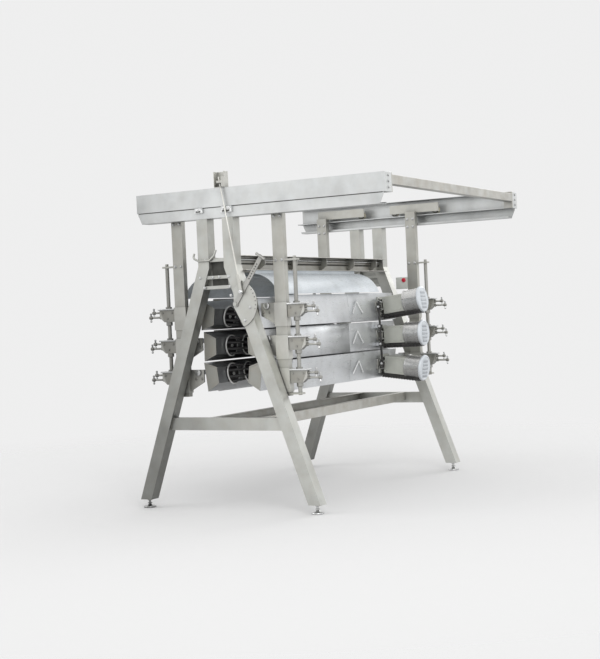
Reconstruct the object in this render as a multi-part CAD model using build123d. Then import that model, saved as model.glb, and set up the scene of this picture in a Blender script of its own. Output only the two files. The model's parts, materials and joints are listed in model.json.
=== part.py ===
"""A-frame poultry plucking machine: two banks of finger discs face a hanging-bird lane.

Frame: X across the machine (+X is the side of the long beam ends), Y along the lane, Z up.
Millimetres. The exported model's origin is the centre of the bottom of its bounding box.
"""
from build123d import *
import math
import os

# ---------------------------------------------------------------- driving dimensions
tube = 100.0                 # side of the frame's square tubes
half_span = 1335.0           # lane centre to the middle of each A-frame, along Y
foot_spread = 785.0          # frame centre to each foot, along X
leg_base_height = 70.0       # underside of the legs above the floor
leg_slope = 0.357            # sideways run of a leg for each unit of height
post_spread = 120.0          # frame centre to the middle of each upright
cross_tube_height = 688.0    # middle of the low cross tube
cross_tube_depth = 50.0
lower_rail_height = 80.0
lower_rail_width = 50.0
lower_rail_wall = 5.0
lower_rail_places = (-165.0, 280.0)   # lower X edge of each low rail
foot_pad_radius = 50.0
foot_pad_thickness = 14.0
foot_neck_height = 12.0
foot_neck_share = 0.6        # root of the neck, as a share of the pad's radius
foot_stem_radius = 10.0
foot_nut_height = 12.0
foot_nut_wall = 8.0

beam_bottom = 2314.0
beam_lower_height = 96.0
beam_upper_height = 140.0    # the proud upper half of a beam
beam_depth = 105.0
beam_left = -740.0
beam_right = 1490.0
beam_wall = 5.0
beam_lip = 18.0
beam_proud = 6.0
beam_shelf = 8.0             # thickness of the shelf that the rollers run on
beam_chamfer = 34.0
beam_end_step = 8.0
beam_end_drop = 22.0
saddle_plates = (            # limits along X, and above the beam's foot
    ((-172.0, -99.0), (49.0, 87.0)),
    ((74.0, 172.0), (40.0, 87.0)),
)
saddle_thickness = 14.0
tie_tube_size = 70.0
tie_tube_rise = 17.0         # above the middle of the beams' upper half
tie_plate_thickness = 12.0

top_rail_outer = 213.0       # outer face of each high channel, from the frame centre
top_rail_top = 2013.0
top_rail_height = 118.0
top_rail_wall = 6.0
crossbar_levels = (1985.0, 1850.0, 1770.0)
crossbar_size = 26.0
crossbar_inset = 5.0
panel_thickness = 5.0

hood_near_gap = 90.0         # near A-frame to the hoods
hood_far_gap = 19.0          # hoods to the motors' fan caps
hood_drop = 175.0
hood_reach = 245.0
hood_thickness = 3.0
hood_band = 24.0             # upright strip between a rail and the curve of its hood

lane_centre = 30.0           # middle of the gap between the banks, from the frame centre
level_pitch = 256.0
levels = ("top", "middle", "bottom")
top_level = 1536.0           # middle of the top sleeves
level_tilts = (7.0, 1.0, -7.0)
pivot_rise = 69.0            # pivot axle above the middle of its sleeves
pivot_drop = 45.0            # pivot axle above the middle of its bank
pivot_reach = 335.0          # lane centre to the pivot axles
pivot_radius = 20.0

post_width = 100.0
post_depth = 50.0
post_wall = 4.0
post_inner = 422.0           # lane centre to the near side of the hanging posts
post_gap = 15.0              # A-frame to hanging post, along Y
post_tail = 124.0            # middle of the lowest sleeves to the foot of a post
post_head = 30.0             # beam's shelf to the head of a post
trolley_length = 500.0
trolley_height = 80.0
hanger_drop = 110.0          # hanger plate below the top of its post
trolley_shifts = {"left": -190.0, "right": 22.0}   # post to trolley middle, away from the lane
axle_strip = 28.0            # height of the bar that joins a trolley's axles
roller_radius = 36.0
roller_width = 30.0
roller_spread = 210.0
roller_inset = 12.0          # inner face of a beam to its rollers
axle_radius = 12.0

sleeve_height = 186.0
sleeve_wall = 6.0
sliding_gap = 0.3
arm_inner = 282.0            # lane centre to the free end of the arms
arm_thickness = 12.0
arm_nose = 100.0
arm_heel = 80.0
clamp_length = 150.0
clamp_height = 108.0
clamp_depth = 46.0
clamp_rise = 30.0
clamp_flange = 10.0
screw_radius = 15.0
screw_place = 78.0           # outer side of the post to the lifting screw
screw_clearance = 2.0
screw_reach = 429.0          # middle of the top sleeves to the top of a lifting screw
screw_foot = 5.0             # foot of a post to the foot of its screw
screw_head_height = 20.0
bracket_thickness = 14.0
bracket_rise = 20.0          # foot of a screw to the top of its lower bracket
bracket_share = 1.6          # half a bracket's width, in screw radii
clamp_toe = (45.0, 38.0)     # run and rise of the slanted lower corner of a screw box
clamp_screws = ((20.0, 66.0), (58.0, 98.0))   # drop below the box's flange, and length
handle_radius = 8.0
tommy_radius = 6.0
tommy_length = 50.0

bank_near_gap = 30.0         # near A-frame to the banks
bank_far_gap = 300.0         # banks to the far A-frame
case_setback = 310.0         # near end of a bank to its deep rear half
lane_face = 149.0            # lane centre to the narrow face of a bank
taper_end = 262.0
case_back = 362.0
face_half_height = 65.0
case_half_height = 118.0
cover_overhang = 6.0
cover_thickness = 4.0
drive_cover_length = 910.0   # far end of a bank to the seam between its covers
cover_seam = 3.0
wire_radius = 4.0
wire_height = 105.0
wire_spread = 95.0
wire_standoff = 14.0
handle_inset = 140.0         # seam between the covers to the middle of the handle

disc_count = 5
disc_inset = 204.0           # near end of a bank to its first disc
disc_pitch = 250.0
disc_radius = 88.0
disc_thickness = 6.0
disc_gap = 13.0              # lane face to the back of a disc
shaft_radius = 12.0
shaft_inside = 60.0
shaft_clearance = 0.3
finger_rings = ((66.0, 8), (32.0, 4))  # radius and number of fingers in each ring
finger_length = 92.0
finger_root = 22.0
finger_tip = 14.0

motor_inset = 240.0          # far end of a bank to its motor
motor_flange_size = 170.0
motor_flange_thickness = 12.0
motor_start = 50.0           # back of a bank to its motor's shroud
shroud_length = 200.0
shroud_size = 156.0
barrel_length = 150.0
barrel_radius = 108.0
cap_radius = 121.0
cap_length = 26.0
motor_body_size = 120.0
fin_count = 8
fin_thickness = 9.0
fin_drop = 98.0
fin_reach = 62.0
louvre_height = 12.0
louvre_pitch = 34.0
louvre_reach = 92.0
louvre_step = 16.0

lever_pivot = (172.0, 1631.0)
lever_lean = 35.0            # degrees from upright
lever_length = 447.0
lever_width = 36.0
lever_thickness = 8.0
lever_gap = 0.3
lever_hole_radius = 5.0
grip_reach = 38.0
grip_radius = 10.0
lever_holes = 7
lever_hole_pitch = 22.0
lever_hole_inset = 80.0
quadrant_wedge = (           # from the lever's pivot
    (-20.0, -25.0), (75.0, -200.0), (210.0, -90.0), (210.0, 140.0), (70.0, 200.0), (-18.0, 120.0),
)
quadrant_slots = (-14.0, -4.0, 6.0, 16.0, 26.0, 36.0)   # degrees above level
quadrant_slot_inset = 12.0
quadrant_slot_radius = 5.0
quadrant_radius = 190.0
quadrant_thickness = 10.0
lever_head_length = 6.0
lever_head_wall = 6.0
lever_eye_wall = 6.0
grip_seat = 2.0              # how deep the grip sits in the lever's face
hook_route = (
    (-198.0, 2046.0), (-214.0, 2010.0), (-160.0, 1984.0), (-60.0, 1984.0), (-14.0, 2020.0), (6.0, 2064.0),
)
hook_bend = 22.0
hook_radius = 8.0
hook_stand = 6.0             # frame's front to the middle of the hook's bar
pin_radius = 8.0
pin_clearance = 0.1
rod_joint_reach = 112.0      # lever pivot to the pull rod's pin
rod_eye_place = 83.0
rod_eye_rise = 41.0          # above the beam's top
rod_eye_play = 4.0
rod_radius = 6.0
rod_tail = 40.0
rod_strap = 110.0
rod_strap_half_width = 12.0
rod_strap_overlap = 30.0
rod_pin_head = 3.0
rod_bore_reach = 60.0
bracket_height = 128.0
bracket_depth = 60.0
bracket_wall = 6.0
bracket_sides = (-70.0, 30.0)   # from the rod's eye, along X
lug_half_height = 9.0
lug_reach = 18.0
lug_web_rise = 40.0
lug_web_foot = 2.0

stop_box_size = (112.0, 70.0, 110.0)
stop_box_gap = 91.0          # top sleeve to the stop box, more than the lifting screws raise it
stop_button_radius = 21.0
stop_button_travel = 6.0
stop_button_place = 395.0    # lane centre to the button
stop_button_drop = 28.0
stop_neck_radius = 8.0
stop_neck_length = 25.0
stop_head_length = 12.0
conduit_radius = 5.0

brace_gap = 150.0            # middle of a motor to the brace rod
brace_standoff = 50.0
brace_radius = 9.0
brace_drop = 300.0
brace_rise = 310.0           # short enough to pass under the hood at full lift
brace_clamp_spread = 80.0
brace_lug_size = 28.0

# ---------------------------------------------------------------- worked-out places
frame_front = -half_span - tube / 2
frame_back = -half_span + tube / 2
post_front = frame_back + post_gap
post_middle = post_front + post_depth / 2
post_outer = post_inner + post_width
level_heights = [top_level - number * level_pitch for number in range(len(levels))]
beam_step = beam_bottom + beam_lower_height
beam_top = beam_step + beam_upper_height
beam_shelf_bottom = beam_step - beam_shelf
post_bottom = level_heights[-1] - post_tail
post_top = beam_step + post_head
screw_top = level_heights[0] + screw_reach
screw_bottom = post_bottom + screw_foot
stop_box_height = level_heights[0] + sleeve_height / 2 + stop_box_gap
bank_near_end = frame_back + bank_near_gap
bank_far_end = -frame_back - bank_far_gap
case_near_end = bank_near_end + case_setback
cover_split = bank_far_end - drive_cover_length
handle_place = cover_split + handle_inset
motor_place = bank_far_end - motor_inset
brace_place = motor_place - brace_gap
hood_near_end = frame_back + hood_near_gap
hood_far_end = motor_place - cap_radius - hood_far_gap
first_disc = bank_near_end + disc_inset
lane_discs = [first_disc + number * disc_pitch for number in range(disc_count)]
disc_back = lane_face - disc_gap
finger_taper = math.degrees(math.atan((finger_root - finger_tip) / 2 / finger_length))
disc_front = disc_back - disc_thickness
screw_line = post_outer + screw_place
rod_eye = (rod_eye_place, beam_top + rod_eye_rise)


def block(x_range, y_range, z_range):
    """A box between two limits on each axis."""
    size = [limits[1] - limits[0] for limits in (x_range, y_range, z_range)]
    middle = [(limits[1] + limits[0]) / 2 for limits in (x_range, y_range, z_range)]
    return Pos(*middle) * Box(*size)


def bar(start, end, radius):
    """A round bar from one point to another."""
    run = Vector(*end) - Vector(*start)
    return Plane(origin=start, z_dir=run) * Pos(0, 0, run.length / 2) * Cylinder(radius, run.length)


def prism_y(points, y_range):
    """A flat outline in X and Z, drawn out along Y."""
    outline = Polyline(*[(x, 0, z) for x, z in points], close=True)
    face = make_face(outline)
    depth = y_range[1] - y_range[0]
    return Pos(0, y_range[0], 0) * extrude(face, amount=depth, dir=(0, 1, 0))


def at_both_ends(shape):
    """The near shape and its copy at the far end of the machine."""
    return [shape, mirror(shape, about=Plane.XZ)]


def on_side(shape, side):
    """Moves a shape drawn from the lane's centre to its side; the left side is mirrored."""
    if side == "left":
        shape = mirror(shape, about=Plane.YZ)
    return Pos(lane_centre, 0, 0) * shape


def tilted(shape, number):
    """Turns a bank's piece, drawn level about its pivot axle, to its set angle."""
    height = level_heights[number] + pivot_rise
    turn = Rot(0, -level_tilts[number], 0)
    return Pos(pivot_reach, 0, height) * turn * Pos(-pivot_reach, 0, -height) * shape


# ---------------------------------------------------------------- fixed frame
def leg_outline():
    """Outline in X and Z of the +X leg and the upright that it bends into."""
    half_leg = tube / 2 * math.sqrt(1 + leg_slope**2)
    outer_post = post_spread + tube / 2
    inner_post = post_spread - tube / 2

    def bend_height(offset, post_side):
        return leg_base_height + (foot_spread + offset - post_side) / leg_slope

    return [
        (foot_spread + half_leg, leg_base_height),
        (outer_post, bend_height(half_leg, outer_post)),
        (outer_post, beam_bottom),
        (inner_post, beam_bottom),
        (inner_post, bend_height(-half_leg, inner_post)),
        (foot_spread - half_leg, leg_base_height),
    ]


def a_frame():
    """The near A-frame as one weldment: legs, uprights, low cross tube and crossbars."""
    leg = prism_y(leg_outline(), (frame_front, frame_back))
    cross_reach = foot_spread - leg_slope * (cross_tube_height - leg_base_height)
    cross_depth = (-half_span - cross_tube_depth / 2, -half_span + cross_tube_depth / 2)
    cross_rise = (cross_tube_height - tube / 2, cross_tube_height + tube / 2)
    frame = leg + mirror(leg, about=Plane.YZ) + block((-cross_reach, cross_reach), cross_depth, cross_rise)
    for level in crossbar_levels:
        bar_rise = (level - crossbar_size / 2, level + crossbar_size / 2)
        bar_depth = (frame_front + crossbar_inset, frame_back - crossbar_inset)
        frame += block((-post_spread, post_spread), bar_depth, bar_rise)
    panel_rise = (crossbar_levels[-1], crossbar_levels[0])
    frame += block((-post_spread, post_spread), (-half_span, -half_span + panel_thickness), panel_rise)
    return frame


def quadrant():
    """The toothed quadrant plate that the adjusting lever swings over, with the lever's pin."""
    pivot_x, pivot_z = lever_pivot
    outline = [(pivot_x + x, pivot_z + z) for x, z in quadrant_wedge]
    plate_depth = (frame_front - quadrant_thickness, frame_front)
    plate = prism_y(outline, plate_depth)
    disc = bar((pivot_x, plate_depth[0], pivot_z), (pivot_x, plate_depth[1], pivot_z), quadrant_radius)
    plate = plate & disc
    for angle in quadrant_slots:
        reach = quadrant_radius - quadrant_slot_inset
        slot_x = pivot_x + reach * math.cos(math.radians(angle))
        slot_z = pivot_z + reach * math.sin(math.radians(angle))
        slot_start = (slot_x, plate_depth[0] - 1, slot_z)
        plate -= bar(slot_start, (slot_x, plate_depth[1] + 1, slot_z), quadrant_slot_radius)
    pin_end = plate_depth[0] - lever_gap - lever_thickness - lever_gap
    plate += bar((pivot_x, plate_depth[0], pivot_z), (pivot_x, pin_end, pivot_z), pin_radius)
    head_end = pin_end - lever_head_length
    plate += bar((pivot_x, pin_end, pivot_z), (pivot_x, head_end, pivot_z), pin_radius + lever_head_wall)
    return plate


def guide_hook():
    """The bent round bar that leads the shackles into the lane, welded to the top crossbar."""
    points = [(x, frame_front - hook_stand, z) for x, z in hook_route]
    path = FilletPolyline(*points, radius=hook_bend)
    section = Plane(origin=path @ 0, z_dir=path % 0) * Circle(hook_radius)
    return sweep(section, path=path)


def near_a_frame():
    """The near A-frame with the quadrant plate and the guide hook."""
    return a_frame() + quadrant() + guide_hook()


def far_a_frame():
    """The plain A-frame at the far end."""
    return mirror(a_frame(), about=Plane.XZ)


def lower_rails():
    """Two channels that tie the low cross tubes together; their open sides face each other."""
    reach = half_span - cross_tube_depth / 2
    top = cross_tube_height + tube / 2
    rise = (top - lower_rail_height, top)
    rails = []
    for number, start in enumerate(lower_rail_places):
        rail = block((start, start + lower_rail_width), (-reach, reach), rise)
        shift = lower_rail_wall if number == 0 else -lower_rail_wall
        hollow_rise = (rise[0] + lower_rail_wall, rise[1] - lower_rail_wall)
        hollow = block((start + shift, start + lower_rail_width + shift), (-reach, reach), hollow_rise)
        rails.append(rail - hollow)
    return rails


def top_rails():
    """Two high channels between the A-frames; their open sides face away from the lane."""
    reach = half_span - tube / 2
    inner = top_rail_outer - tube
    rise = (top_rail_top - top_rail_height, top_rail_top)
    rail = block((inner, top_rail_outer), (-reach, reach), rise)
    hollow_rise = (rise[0] + top_rail_wall, rise[1] - top_rail_wall)
    rail -= block((inner + top_rail_wall, top_rail_outer + 1), (-reach - 1, reach + 1), hollow_rise)
    return [rail, mirror(rail, about=Plane.YZ)]


def splash_hoods():
    """A curved sheet under each high rail that throws water and feathers down onto the banks."""
    lip_start = top_rail_outer - tube / 2
    arc_start = top_rail_outer - 2 * top_rail_wall
    lip_rise = (top_rail_top - top_rail_height - hood_thickness, top_rail_top - top_rail_height)
    half_turn = math.atan2(hood_drop, hood_reach)
    radius = hood_drop / (1 - math.cos(2 * half_turn))
    arc_top = lip_rise[1] - hood_band
    centre = (arc_start, arc_top - radius)
    turn = 2 * half_turn
    middle = turn / 2

    def on_arc(angle, reach):
        return (centre[0] + reach * math.sin(angle), 0, centre[1] + reach * math.cos(angle))

    inside = radius - hood_thickness
    edges = ThreePointArc(on_arc(0, radius), on_arc(middle, radius), on_arc(turn, radius))
    edges += Line(on_arc(turn, radius), on_arc(turn, inside))
    edges += ThreePointArc(on_arc(turn, inside), on_arc(middle, inside), on_arc(0, inside))
    edges += Line(on_arc(0, inside), on_arc(0, radius))
    sheet = extrude(make_face(edges), amount=hood_far_end - hood_near_end, dir=(0, 1, 0))
    sheet = Pos(0, hood_near_end, 0) * sheet
    run = (hood_near_end, hood_far_end)
    sheet += block((lip_start, arc_start + hood_thickness), run, lip_rise)
    sheet += block((arc_start, arc_start + hood_thickness), run, (arc_top - hood_thickness, lip_rise[1]))
    return [sheet, mirror(sheet, about=Plane.YZ)]


def near_beam():
    """The near top beam: two channels in one folded section, open towards the lane."""
    outer = frame_front
    inner = frame_front + beam_depth
    proud = outer - beam_proud
    shelf = beam_shelf_bottom
    outline = [
        (outer, beam_bottom),
        (inner, beam_bottom),
        (inner, beam_bottom + beam_lip),
        (inner - beam_wall, beam_bottom + beam_lip),
        (inner - beam_wall, beam_bottom + beam_wall),
        (outer + beam_wall, beam_bottom + beam_wall),
        (outer + beam_wall, shelf),
        (inner, shelf),
        (inner, beam_step),
        (proud + beam_wall, beam_step),
        (proud + beam_wall, beam_top - beam_wall),
        (inner, beam_top - beam_wall),
        (inner, beam_top),
        (proud, beam_top),
        (proud, shelf),
        (outer, shelf),
    ]
    face = make_face(Polyline(*[(0, y, z) for y, z in outline], close=True))
    beam = Pos(beam_left, 0, 0) * extrude(face, amount=beam_right - beam_left, dir=(1, 0, 0))
    cut_depth = (proud - 1, inner + 1)
    for end, inward in ((beam_left, 1), (beam_right, -1)):
        corner = [
            (end - inward, shelf),
            (end - inward, beam_bottom - 1),
            (end + inward * (beam_chamfer + beam_end_step), beam_bottom - 1),
            (end + inward * beam_end_step, beam_step - beam_end_drop),
            (end + inward * beam_end_step, shelf),
        ]
        beam -= prism_y(corner, cut_depth)
    cap_rise = (shelf, beam_top)
    beam += block((beam_right, beam_right + tie_plate_thickness), (proud, inner), cap_rise)
    return beam


def beam_saddles():
    """The saddle plates and the small box on the near beam's face, over the uprights."""
    front = frame_front
    saddles = []
    for side, lift in saddle_plates:
        rise = (beam_bottom + lift[0], beam_bottom + lift[1])
        saddles.append(block(side, (front - saddle_thickness, front), rise))
    return saddles


def tie_tube():
    """The tube between the long ends of the two beams, with a plate at each end."""
    reach = half_span + tube / 2 - beam_depth
    outer = beam_right + tie_plate_thickness
    middle = (beam_top + beam_step) / 2 + tie_tube_rise
    rise = (middle - tie_tube_size / 2, middle + tie_tube_size / 2)
    plate_reach = reach - tie_plate_thickness
    tube_solid = block((outer - tie_tube_size, outer), (-plate_reach, plate_reach), rise)
    hollow_rise = (rise[0] + beam_wall, rise[1] - beam_wall)
    hollow_side = (outer - tie_tube_size + beam_wall, outer - beam_wall)
    tube_solid -= block(hollow_side, (-plate_reach, plate_reach), hollow_rise)
    plate_side = (outer - tie_tube_size - tie_plate_thickness, outer)
    plate = block(plate_side, (-reach, -plate_reach), (beam_shelf_bottom, beam_top))
    return tube_solid + plate + mirror(plate, about=Plane.XZ)


def levelling_feet():
    """Four feet: a pad, a stem up to the leg and a lock nut against the leg's end."""
    pad = Pos(0, 0, foot_pad_thickness / 2) * Cylinder(foot_pad_radius, foot_pad_thickness)
    neck_top = foot_pad_thickness + foot_neck_height
    neck_root = foot_pad_radius * foot_neck_share
    neck = Cone(neck_root, foot_stem_radius + foot_nut_wall / 2, foot_neck_height)
    neck = Pos(0, 0, foot_pad_thickness + foot_neck_height / 2) * neck
    stem = bar((0, 0, neck_top), (0, 0, leg_base_height), foot_stem_radius)
    nut = extrude(RegularPolygon(foot_stem_radius + foot_nut_wall, 6), amount=foot_nut_height)
    nut = Pos(0, 0, leg_base_height - foot_nut_height) * nut
    foot = pad + neck + stem + nut
    places = [(x, y) for x in (-foot_spread, foot_spread) for y in (-half_span, half_span)]
    return [Pos(x, y, 0) * foot for x, y in places]


def rod_place():
    """The plane of the pull rod, the pin that joins it to the lever and the eye above it."""
    plane = frame_front - quadrant_thickness - 2 * lever_gap - lever_thickness - rod_radius - rod_eye_play
    lean = math.radians(lever_lean)
    joint_x = lever_pivot[0] + rod_joint_reach * math.sin(lean)
    joint_z = lever_pivot[1] + rod_joint_reach * math.cos(lean)
    return plane, (joint_x, joint_z), rod_eye


def rod_bracket():
    """The channel on top of the near beam whose lug guides the upper end of the pull rod."""
    plane, joint, eye = rod_place()
    front = frame_front - beam_proud
    side = (eye[0] + bracket_sides[0], eye[0] + bracket_sides[1])
    rise = (beam_top, beam_top + bracket_height)
    depth = (front, front + bracket_depth)
    bracket = block(side, depth, rise)
    hollow_side = (side[0] + bracket_wall, side[1] - bracket_wall)
    hollow_depth = (depth[0] - 1, depth[1] - bracket_wall)
    bracket -= block(hollow_side, hollow_depth, (rise[0] + bracket_wall, rise[1] + 1))
    lug_rise = (eye[1] - lug_half_height, eye[1] + lug_half_height)
    lug_depth = (plane - lug_reach, front + bracket_wall)
    lug = block((eye[0] - lug_reach, side[1]), lug_depth, lug_rise)
    web_rise = (rise[0] + lug_web_foot, eye[1] + lug_web_rise)
    lug += block((side[1] - bracket_wall, side[1]), lug_depth, web_rise)
    run = Vector(eye[0] - joint[0], 0, eye[1] - joint[1]).normalized() * rod_bore_reach
    start = (eye[0] - run.X, plane, eye[1] - run.Z)
    end = (eye[0] + run.X, plane, eye[1] + run.Z)
    return bracket + lug - bar(start, end, rod_radius + rod_eye_play)


# ---------------------------------------------------------------- carriages and lifts
def hanging_post():
    """One near hanging post with its trolley, rollers and lifting screw, drawn for the right side."""
    post = block((post_inner, post_outer), (post_front, post_front + post_depth), (post_bottom, post_top))
    hollow_side = (post_inner + post_wall, post_outer - post_wall)
    hollow_depth = (post_front + post_wall, post_front + post_depth - post_wall)
    post -= block(hollow_side, hollow_depth, (post_bottom - 1, post_top - post_wall))
    screw_at = (screw_line, post_middle)
    half_bracket = bracket_share * screw_radius
    for top in (screw_top, screw_bottom + bracket_rise):
        side = (post_outer, screw_line + 2 * screw_radius)
        depth = (post_middle - half_bracket, post_middle + half_bracket)
        post += block(side, depth, (top - bracket_thickness, top))
    post += bar((*screw_at, screw_bottom), (*screw_at, screw_top), screw_radius)
    head = extrude(RegularPolygon(screw_radius, 6), amount=screw_head_height)
    return post + Pos(*screw_at, screw_top) * head


def trolley(middle):
    """A post's hanger plate and its two rollers on the shelf inside the near beam."""
    beam_inner = frame_front + beam_depth
    depth = (beam_inner + sliding_gap, post_front)
    axle_height = beam_step + sliding_gap + roller_radius
    strip_rise = (axle_height - axle_strip / 2, axle_height + axle_strip / 2)
    plate_rise = (strip_rise[0], strip_rise[0] + trolley_height)
    plate = block((middle - trolley_length / 2, middle + trolley_length / 2), depth, plate_rise)
    hanger_rise = (post_top - hanger_drop, plate_rise[1])
    plate += block((post_inner, post_outer), depth, hanger_rise)
    rollers = []
    for place in (middle - roller_spread, middle + roller_spread):
        start = beam_inner - roller_width - roller_inset
        end = start + roller_width
        rollers.append(bar((place, start, axle_height), (place, end, axle_height), roller_radius))
        plate += bar((place, end, axle_height), (place, depth[0], axle_height), axle_radius)
    return [plate, *rollers]


def screw_handle(reach, length, middle_y, height):
    """A clamping screw and the cross bar on its end, pointing away from the lane."""
    tip = reach + length
    cross_low = (tip + tommy_radius, middle_y, height - tommy_length / 2)
    cross_high = (tip + tommy_radius, middle_y, height + tommy_length / 2)
    screw = bar((reach, middle_y, height), (tip, middle_y, height), handle_radius)
    return [screw, bar(cross_low, cross_high, tommy_radius)]


def level_clamp(height):
    """One near clamp: the sleeve on the post, the arm for the bank's axle and the screw box."""
    play = sliding_gap
    inner = post_inner - play - sleeve_wall
    outer = post_outer + play + sleeve_wall
    depth = (post_front - play - sleeve_wall, post_front + post_depth + play + sleeve_wall)
    rise = (height - sleeve_height / 2, height + sleeve_height / 2)
    clamp = block((inner, outer), depth, rise)
    arm_outline = [
        (arm_inner, rise[1]),
        (inner, rise[1]),
        (inner, height - arm_heel),
        (arm_inner, rise[1] - arm_nose),
    ]
    arm_depth = (post_middle - arm_thickness / 2, post_middle + arm_thickness / 2)
    clamp += prism_y(arm_outline, arm_depth)
    box_end = outer + clamp_length
    box_middle = height + clamp_rise
    box_depth = (post_middle - clamp_depth / 2, post_middle + clamp_depth / 2)
    box_rise = (box_middle - clamp_height / 2, box_middle + clamp_height / 2)
    toe_run, toe_rise = clamp_toe
    box_outline = [
        (outer, box_rise[1]),
        (box_end, box_rise[1]),
        (box_end, box_rise[0] + toe_rise),
        (box_end - toe_run, box_rise[0]),
        (outer, box_rise[0]),
    ]
    clamp += prism_y(box_outline, box_depth)
    flange_depth = (box_depth[0] - clamp_flange, box_depth[1] + clamp_flange)
    clamp += block((outer, box_end + clamp_flange), flange_depth, (box_rise[1] - clamp_flange, box_rise[1]))
    handles = []
    for drop, length in clamp_screws:
        handles += screw_handle(box_end, length, post_middle, box_rise[1] - clamp_flange - drop)
    post_side = (post_inner - play, post_outer + play)
    post_depths = (post_front - play, post_front + post_depth + play)
    clamp -= block(post_side, post_depths, (rise[0] - 1, rise[1] + 1))
    screw_start = (screw_line, post_middle, box_rise[0] - 1)
    screw_end = (screw_line, post_middle, box_rise[1] + 1)
    axle_start = (pivot_reach, arm_depth[0] - 1, height + pivot_rise)
    axle_end = (pivot_reach, arm_depth[1] + 1, height + pivot_rise)
    clamp -= bar(screw_start, screw_end, screw_radius + screw_clearance)
    clamp -= bar(axle_start, axle_end, pivot_radius + shaft_clearance)
    return [clamp, *handles]


def lift(side):
    """All six clamps of one side, which the lifting screws raise and lower together."""
    clamps = []
    for height in level_heights:
        for piece in level_clamp(height):
            clamps += at_both_ends(piece)
    return [on_side(piece, side) for piece in clamps]


def carriage(side):
    """The two hanging posts of one side with their trolleys, which roll along the beams."""
    post_centre = (post_inner + post_outer) / 2
    pieces = at_both_ends(hanging_post())
    for piece in trolley(post_centre + trolley_shifts[side]):
        pieces += at_both_ends(piece)
    return [on_side(piece, side) for piece in pieces]


# ---------------------------------------------------------------- banks
def wire_handle(height):
    """The bent wire on a drive cover, by which the cover is lifted off."""
    face = case_back + cover_thickness
    out = face + wire_standoff
    low = height - wire_height / 2
    points = [
        (face, handle_place - wire_spread, low),
        (out, handle_place - wire_spread, low),
        (out, handle_place, low + wire_height),
        (out, handle_place + wire_spread, low),
        (face, handle_place + wire_spread, low),
    ]
    path = Polyline(*points)
    section = Plane(origin=path @ 0, z_dir=path % 0) * Circle(wire_radius)
    return sweep(section, path=path, transition=Transition.RIGHT)


def casing(middle):
    """A bank's two casings: the tapered trough that faces the lane and the deep box behind it."""
    outline = [
        (lane_face, middle - face_half_height),
        (taper_end, middle - case_half_height),
        (taper_end, middle + case_half_height),
        (lane_face, middle + face_half_height),
    ]
    deep_rise = (middle - case_half_height, middle + case_half_height)
    deep = block((taper_end, case_back), (case_near_end, bank_far_end), deep_rise)
    trough = prism_y(outline, (bank_near_end, bank_far_end))
    for place in lane_discs:
        bore_start = (lane_face - 1, place, middle)
        bore_end = (lane_face + shaft_inside + 1, place, middle)
        trough -= bar(bore_start, bore_end, shaft_radius + shaft_clearance)
    return [trough, deep]


def bank_housing(side, number):
    """A bank's casings, the axle stub on each end and its two covers, drawn level and then turned."""
    middle = level_heights[number] + pivot_rise - pivot_drop
    pieces = casing(middle)
    axle_height = level_heights[number] + pivot_rise
    axle_end = -post_middle + arm_thickness
    for start, end in ((-axle_end, case_near_end), (bank_far_end, axle_end)):
        stub_start = (pivot_reach, start, axle_height)
        pieces.append(bar(stub_start, (pivot_reach, end, axle_height), pivot_radius))
    cover_side = (case_back, case_back + cover_thickness)
    cover_half = case_half_height + cover_overhang
    cover_rise = (middle - cover_half, middle + cover_half)
    near_cover_run = (case_near_end - cover_overhang, cover_split - cover_seam / 2)
    drive_cover_run = (cover_split + cover_seam / 2, bank_far_end + cover_overhang)
    near_cover = block(cover_side, near_cover_run, cover_rise)
    drive_cover = block(cover_side, drive_cover_run, cover_rise) + wire_handle(middle)
    pieces += [near_cover, drive_cover]
    return [on_side(tilted(piece, number), side) for piece in pieces]


def bank_motor(side, number):
    """The drive motor on a bank's back: flange, finned body, box shroud, barrel and fan cap."""
    middle = level_heights[number] + pivot_rise - pivot_drop
    start = case_back + cover_thickness
    shroud_start = case_back + motor_start
    shroud_end = shroud_start + shroud_length
    barrel_end = shroud_end + barrel_length

    def square(x_range, size):
        half = size / 2
        return block(x_range, (motor_place - half, motor_place + half), (middle - half, middle + half))

    neck_start = start + motor_flange_thickness
    pieces = [
        square((start, neck_start), motor_flange_size),
        square((neck_start, shroud_start), motor_body_size),
        square((shroud_start, shroud_end), shroud_size),
        bar((shroud_end, motor_place, middle), (barrel_end, motor_place, middle), barrel_radius),
    ]
    fin_pitch = shroud_length / fin_count
    for count in range(fin_count):
        fin_start = shroud_start + (count + 0.5) * fin_pitch - fin_thickness / 2
        fin_run = (motor_place - fin_reach, motor_place + fin_reach)
        fin_rise = (middle - fin_drop, middle - shroud_size / 2)
        pieces.append(block((fin_start, fin_start + fin_thickness), fin_run, fin_rise))
    cap_end = barrel_end + cap_length
    cap = bar((barrel_end, motor_place, middle), (cap_end, motor_place, middle), cap_radius)
    for count in range(-2, 3):
        slot_middle = middle + count * louvre_pitch
        half_run = louvre_reach - abs(count) * louvre_step
        slot_rise = (slot_middle - louvre_height / 2, slot_middle + louvre_height / 2)
        slot_run = (motor_place - half_run, motor_place + half_run)
        cap -= block((cap_end - cap_length / 4, cap_end + 1), slot_run, slot_rise)
    return [on_side(tilted(piece, number), side) for piece in [*pieces, cap]]


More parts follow.
